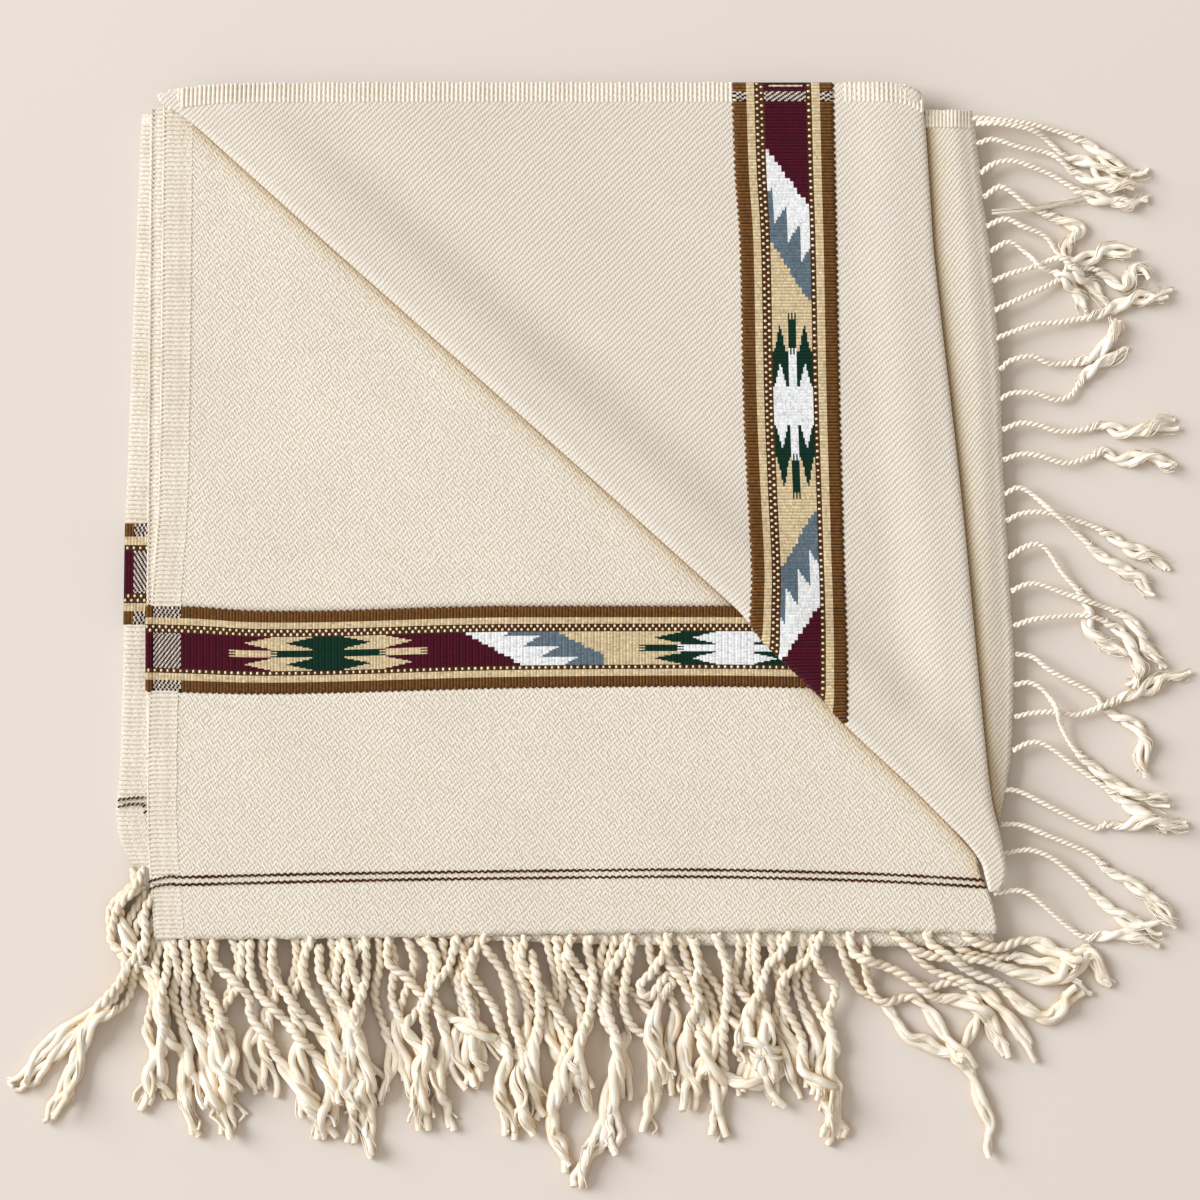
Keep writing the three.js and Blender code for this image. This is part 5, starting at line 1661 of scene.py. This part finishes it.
# %% Plans of the front cords
FRONT_PLANS = [
    [(169, 940), (167, 972), (161, 1001), (164, 1027), (159, 1058), (150, 1090)],
    [(172, 940), (178, 972), (173, 996), (182, 1027), (187, 1054), (184, 1085), (190, 1112)],
    [(182, 940), (187, 960), (185, 997), (190, 1020), (202, 1044), (206, 1075), (214, 1112)],
    [(195, 940), (199, 972), (213, 1001), (226, 1027), (232, 1058), (226, 1075), (228, 1115)],
    [(214, 940), (214, 961), (233, 980), (249, 997), (250, 1016), (268, 1040), (276, 1058),
     (294, 1084), (304, 1097), (322, 1118)],
    [(250.5, 940), (250.5, 972), (261, 997), (276, 1011), (290, 1027), (303, 1042), (316, 1058),
     (330, 1090), (324, 1120)],
    [(273, 938), (273, 972), (285, 992), (295, 1006), (312, 1026), (330, 1045), (352, 1066)],
    [(312.5, 938), (304, 958), (304, 977), (312, 997), (324, 1016), (331, 1035), (338, 1062),
     (352, 1098), (350, 1128)],
    [(319, 945), (321, 977), (337, 997), (350, 1016), (356, 1046), (352, 1076)],
    [(343.5, 938), (354, 972), (359, 997), (359, 1016), (350, 1032), (347, 1058), (352, 1092)],
    [(366, 937), (366, 972), (362, 994), (354, 1016), (359, 1040), (368, 1075), (364, 1101),
     (372, 1135)],
    [(388.6, 937), (388.6, 963), (406, 977), (420, 994), (437, 1009), (452, 1020), (478, 1030),
     (500, 1048)],
    [(425, 937), (437, 960), (432, 989), (441, 1018), (447, 1046), (440, 1078), (447, 1110)],
    [(457, 936), (449, 966), (432, 989), (424, 1016), (428, 1048), (418, 1076), (424, 1112)],
    [(487, 936), (473, 953), (471, 972), (483, 992), (494, 1009), (500, 1027), (508, 1058),
     (500, 1088), (506, 1120)],
    [(482, 945), (500, 968), (509, 992), (513, 1023), (523, 1056), (516, 1082), (527, 1118)],
    [(526, 936), (521, 958), (531, 975), (545, 994), (562, 1020), (569, 1035), (559, 1075),
     (552, 1132), (560, 1150)],
    [(531, 950), (540, 997), (538, 1030), (530, 1063), (536, 1096)],
    [(573, 936), (568, 951), (587, 978), (600, 1001), (606, 1023), (621, 1051), (606, 1110),
     (586, 1168)],
    [(592, 936), (587, 946), (593, 975), (590, 1010), (578, 1050), (584, 1090)],
    [(631, 935), (618, 958), (606, 980), (607, 1009), (616, 1040), (616, 1080), (614, 1139)],
    [(633, 942), (626, 977), (624, 1009), (635, 1030), (649, 1040), (655, 1075), (648, 1110)],
    [(668, 933), (668, 961), (682, 980), (692, 1001), (702, 1016), (699, 1030), (706, 1054),
     (718, 1082), (720, 1120)],
    [(666, 950), (652, 972), (640, 985), (645, 997), (655, 992), (666, 975), (672, 984), (661, 996),
     (652, 1027), (660, 1060)],
    [(694, 940), (699, 968), (694, 982), (699, 999), (690, 1026), (684, 1060), (690, 1094)],
    [(716, 934), (728, 968), (742, 994), (754, 1003), (765, 1026), (760, 1056)],
    [(726, 960), (728, 984), (725, 1015), (723, 1040), (726, 1075), (750, 1084), (778, 1075),
     (778, 1058), (756, 1046), (744, 1034)],
    [(757, 932), (756, 954), (759, 989), (768, 1020), (764, 1052), (772, 1090)],
    [(790, 932), (780, 954), (768, 965), (760, 990), (748, 1016), (744, 1048)],
    [(823, 932), (809, 958), (788, 973), (780, 989), (785, 1006), (802, 1040), (804, 1071),
     (828, 1092), (838, 1122)],
    [(812, 950), (824, 974), (835, 985), (833, 1003), (828, 1016), (835, 1049), (828, 1075),
     (838, 1092), (828, 1125)],
    [(850, 932), (853, 953), (871, 961), (899, 972), (916, 984), (937, 998), (963, 1002),
     (987, 1017), (998, 1038)],
    [(891, 932), (912, 948), (937, 957), (980, 960), (1006, 969), (1032, 977), (1058, 981),
     (1075, 965), (1092, 952), (1103, 969)],
    [(927, 932), (930, 943), (948, 955), (972, 972), (1003, 986), (1024, 1007), (1049, 1017),
     (1068, 1003)],
    [(962, 932), (976, 942), (998, 948), (1024, 941), (1046, 946), (1062, 955)],
]
print("front cords planned:", len(FRONT_PLANS))

# %% [markdown]
# Of the lower cords only ends and glimpses show. Those under the front ones are planned singly,
# and each gets a neighbour that falls in its own way, which fills the row without more planning.

# %% Plans of the lower cords
BACK_PLANS = [
    [(133, 868), (134, 884), (121, 901), (118, 925), (128, 952)],
    [(133, 885), (111, 907), (109, 924), (113, 947), (132, 966), (144, 978), (159, 1003),
     (166, 1040)],
    [(150, 903), (136, 928), (132, 955), (125, 970), (117, 989), (92, 1020), (67, 1041),
     (27, 1083)],
    [(146, 892), (129, 920), (125, 947), (125, 974), (113, 999), (87, 1031), (75, 1056),
     (50, 1114)],
    [(160, 925), (150, 960), (152, 996), (146, 1030), (158, 1064), (166, 1092)],
    [(205, 938), (200, 966), (192, 1000), (200, 1034), (216, 1066), (206, 1098)],
    [(232, 938), (238, 964), (228, 994), (212, 1024), (216, 1056), (236, 1090)],
    [(262, 938), (262, 962), (270, 990), (262, 1020), (248, 1050), (256, 1086)],
    [(295, 936), (296, 966), (288, 996), (300, 1030), (296, 1066), (310, 1096)],
    [(330, 936), (334, 962), (326, 990), (338, 1024), (330, 1058), (336, 1094)],
    [(356, 936), (346, 966), (340, 1000), (348, 1036), (366, 1066), (380, 1090)],
    [(378, 936), (380, 962), (374, 996), (384, 1030), (392, 1062), (384, 1098)],
    [(406, 936), (414, 964), (404, 996), (396, 1028), (404, 1062), (414, 1092)],
    [(442, 936), (446, 960), (458, 990), (462, 1020), (454, 1052), (464, 1086)],
    [(470, 936), (462, 960), (458, 984), (470, 1016), (482, 1046), (478, 1080)],
    [(506, 936), (512, 962), (522, 990), (528, 1020), (520, 1052), (516, 1090)],
    [(545, 936), (552, 962), (556, 990), (548, 1020), (556, 1052), (572, 1086)],
    [(560, 936), (562, 964), (574, 994), (582, 1024), (574, 1056), (566, 1092)],
    [(606, 936), (600, 966), (616, 996), (628, 1026), (622, 1060), (628, 1094)],
    [(648, 936), (652, 962), (668, 990), (676, 1020), (668, 1052), (672, 1086)],
    [(680, 936), (688, 964), (706, 990), (716, 1020), (708, 1050), (696, 1084)],
    [(740, 934), (738, 962), (730, 990), (740, 1020), (752, 1050), (744, 1086)],
    [(770, 934), (774, 962), (780, 990), (776, 1020), (788, 1052), (796, 1086)],
    [(804, 934), (800, 960), (796, 986), (806, 1016), (818, 1046), (812, 1080)],
    [(836, 934), (846, 962), (860, 990), (884, 1004), (908, 1036), (929, 1043), (953, 1055)],
    [(845, 936), (862, 958), (881, 964), (903, 976), (929, 988), (956, 983), (980, 1003),
     (970, 1038), (956, 1055), (965, 1064), (980, 1098), (989, 1124), (993, 1155)],
    [(868, 936), (866, 965), (872, 991), (886, 1003), (912, 998), (930, 1012), (943, 1034),
     (968, 1062)],
    [(906, 936), (916, 956), (936, 972), (962, 980), (990, 996), (1012, 1020), (1030, 1048)],
    [(944, 936), (962, 950), (990, 958), (1016, 958), (1040, 962), (1058, 965), (1084, 990)],
]


def neighbours(plans, aside, seed):
    """A companion for each cord: it starts a little aside of it and falls in a way of its own."""
    chance_of = np.random.default_rng(seed)
    found = []
    for plan in plans:
        points = np.array(plan, float)
        swing = np.cumsum(chance_of.normal(0, 5.5, len(points)))
        points[:, 0] += aside + swing - swing[0]
        points[1:, 1] += chance_of.normal(0, 5, len(points) - 1)
        found.append([tuple(point) for point in points])
    return found


BACK_PLANS += neighbours(BACK_PLANS[:24], 10, 5)
print("lower cords planned:", len(BACK_PLANS))

# %% [markdown]
# Each opened cord is three things: its own two plies, which swell, a few locks as thick as a ply,
# and fine yarns. The front cords are laid over the lower ones.

# %% Cords of the lower and front plies, at the bottom
back_paths = laid(BACK_PLANS, BACK_Z - 0.3, 2.8, (0.0, 0.5), longer=4)
front_paths = laid(FRONT_PLANS, FRONT_Z - 0.3, 3.0, (0.0, 0.75), under=back_paths, longer=12)
front_open = open_lengths(front_paths, 0.45, 0.62)
back_open = open_lengths(back_paths, 0.42, 0.58)
print("front fringe:", spread_of(front_paths))
print("lower fringe:", spread_of(back_paths))
FRONT_TWIST = {"Pitch": 12.5 * MM, "Drift": 24.0 * MM, "Curl_size": 46.0}
BACK_TWIST = {"Pitch": 12.5 * MM, "Drift": 22.0 * MM, "Curl_size": 46.0}
LOCKS = {"Pitch": 12.5 * MM, "Drift": 36.0 * MM, "Curl_size": 46.0}
front_cords = grow(
    "front_cords", path_mesh(front_paths, None, 2, front_open, 0.62, 0.2),
    twist_tree, cord_wool, **FRONT_TWIST, Ply_radius=1.98 * MM, Spacing=1.42 * MM,
    Step=1.25 * MM, Sides=6, Flatness=0.85)
back_cords = grow(
    "back_cords", path_mesh(back_paths, None, 3, back_open, 0.55, 0.25),
    twist_tree, cord_wool, **BACK_TWIST, Ply_radius=1.88 * MM, Spacing=1.35 * MM,
    Step=1.7 * MM, Sides=5, Flatness=0.85)
front_locks = grow(
    "front_locks", path_mesh(front_paths, None, 4, front_open, ends_only=True),
    loose_tree, cord_wool, **LOCKS, Yarns=3, Yarn_radius=1.7 * MM, Start_radius=2.0 * MM,
    End_radius=5.5 * MM, Step=1.9 * MM, Sides=6, Shortest=0.7, Stray=0.4)
front_tufts = grow(
    "front_tufts", path_mesh(front_paths, None, 2, front_open, ends_only=True),
    loose_tree, loose_wool, **FRONT_TWIST, Yarns=20, Yarn_radius=0.5 * MM, Start_radius=3.4 * MM,
    End_radius=5.6 * MM, Step=1.9 * MM, Sides=3, Shortest=0.72, Stray=0.35)
back_tufts = grow(
    "back_tufts", path_mesh(back_paths, None, 3, back_open, ends_only=True),
    loose_tree, loose_wool, **BACK_TWIST, Yarns=6, Yarn_radius=0.8 * MM, Start_radius=3.1 * MM,
    End_radius=5.2 * MM, Step=2.2 * MM, Sides=3, Shortest=0.6, Stray=0.4)

# %% [markdown]
# ## What each piece stands for
# Every piece rides on the one body and takes the place of its CAD nodes. For each ply the cut of
# what it shows is worked out and printed, and the fringe and trims go with them.

# %% Pieces and the plies' cuts
PIECES = {
    "wool_twill": {
        hidden_stack: ["hidden_folds"], lower_ply: ["back_hem", "back_field"],
        second_ply: ["second_ply"], front_ply: ["front_hem", "front_field"],
        flap: ["flap_field", "flap_side"], flap_end: ["flap_end"], front_selvedge: [],
        lower_selvedge: [], middle_selvedge: [], edge_braids: [], flap_ribs: [], end_ribs: []},
    "border_weave": {
        front_band: ["front_border"], lower_band: ["back_border"], flap_band: ["flap_border"],
        pinstripes: [], white_line: [], front_ticks: [], lower_ticks: [], middle_ticks: [],
        front_dots: [], lower_dots: [], flap_dots: []},
    "fringe_cord": {
        right_cords: ["fringe_right"], front_cords: ["fringe_front"], back_cords: ["fringe_back"],
        right_tufts: [], right_wisp: [], front_locks: [], front_tufts: [], back_tufts: []},
}
for slot, pieces in PIECES.items():
    for piece, nodes in pieces.items():
        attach(piece, "root")
        if nodes:
            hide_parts(*nodes)
triangles = [triangles_of(piece) for pieces in PIECES.values() for piece in pieces]
print("triangles:", sum(triangles), "in all, at most", max(triangles), "in a piece")


def declare_ply(piece, grids):
    """Works out and prints the cut of a ply: a size that holds the area it shows."""
    area = cloth_area(*grids)
    size = np.ptp(np.concatenate([g.reshape(-1, 3) for g in grids]), axis=0)[:2] * MM
    if size[0] * size[1] < area:
        size = size * math.sqrt(area / (size[0] * size[1]) * 1.01)
    print(f"{piece.name}: cut of {size[0]:.3f} by {size[1]:.3f} m, {area:.3f} square metres")


declare_ply(lower_ply, [hem_of_back, field_of_back])
declare_ply(second_ply, [second_grid])
declare_ply(front_ply, [hem_of_front, field_of_front])
declare_ply(flap, [flap_grid])
declare_ply(flap_end, [end_grid])

# %% [markdown]
# ## Floor
# The shawl lies on a pale, smooth board with matt paint. A soft noise of two near tones keeps it
# from looking like a blank.

# %% Floor
# Emulsion paint: no gloss, and a tone that varies too little to see as a pattern.
floor_paint, tree, shader = matt("Board_pale_matt_paint", 0.9, 0.0)
place = add(tree, "ShaderNodeTexCoord").outputs["Object"]
mottle = add(tree, "ShaderNodeTexNoise", {"Vector": place, "Scale": 3.0, "Detail": 2.0})
paint = add(tree, "ShaderNodeMix", {
    0: mottle.outputs["Fac"], 6: linear("#E2DCD6"), 7: linear("#DED8D2")}, data_type="RGBA")
tree.links.new(paint.outputs[2], shader.inputs["Base Color"])
board = bpy.data.meshes.new("floor")
board.from_pydata([(-4, -4, 0), (4, -4, 0), (4, 4, 0), (-4, 4, 0)], [], [(0, 1, 2, 3)])
board.materials.append(floor_paint)
floor = placed("floor", board)
print("floor:", [round(length, 1) for length in floor.dimensions[:2]], "m")

# %% [markdown]
# ## Light and camera
# A broad soft light stands low at the left, so that it grazes the cloth and brings out its weave,
# and a pale surround fills the shadows. It stands 12 m off, so the light is even over the cloth.
# The Standard view keeps pale wool as pale as it is. The camera looks straight down.

# %% Light and camera
def lamp(name, towards, away, size, watts, tint):
    """A square soft light, away metres off in a direction, facing the shawl."""
    light = bpy.data.lights.new(name, "AREA")
    light.shape, light.size, light.energy, light.color = "SQUARE", size, watts, linear(tint)[:3]
    made = placed(name, light)
    direction = Vector(towards).normalized()
    made.location = direction * away
    made.rotation_euler = direction.to_track_quat("Z", "Y").to_euler()
    return made


key_light = lamp("key_light", (-0.83, 0.29, 0.50), 12.0, 7.5, 1690, "#FBFCFF")
world = bpy.data.worlds.new("studio")
bpy.context.scene.world = world
world.use_nodes = True
world.node_tree.nodes["Background"].inputs["Color"].default_value = linear("#FFF5EA")
world.node_tree.nodes["Background"].inputs["Strength"].default_value = 0.56
bpy.context.scene.view_settings.view_transform = "Standard"

camera_lens = bpy.data.cameras.new("camera")
camera_lens.lens, camera_lens.sensor_width = 120, 36
camera = placed("camera", camera_lens)
camera.location = (-0.0015, 0.01075, 2.51)
bpy.context.scene.camera = camera
print("light at", [round(part, 2) for part in key_light.location], "m, camera at",
      [round(part, 2) for part in camera.location], "m")
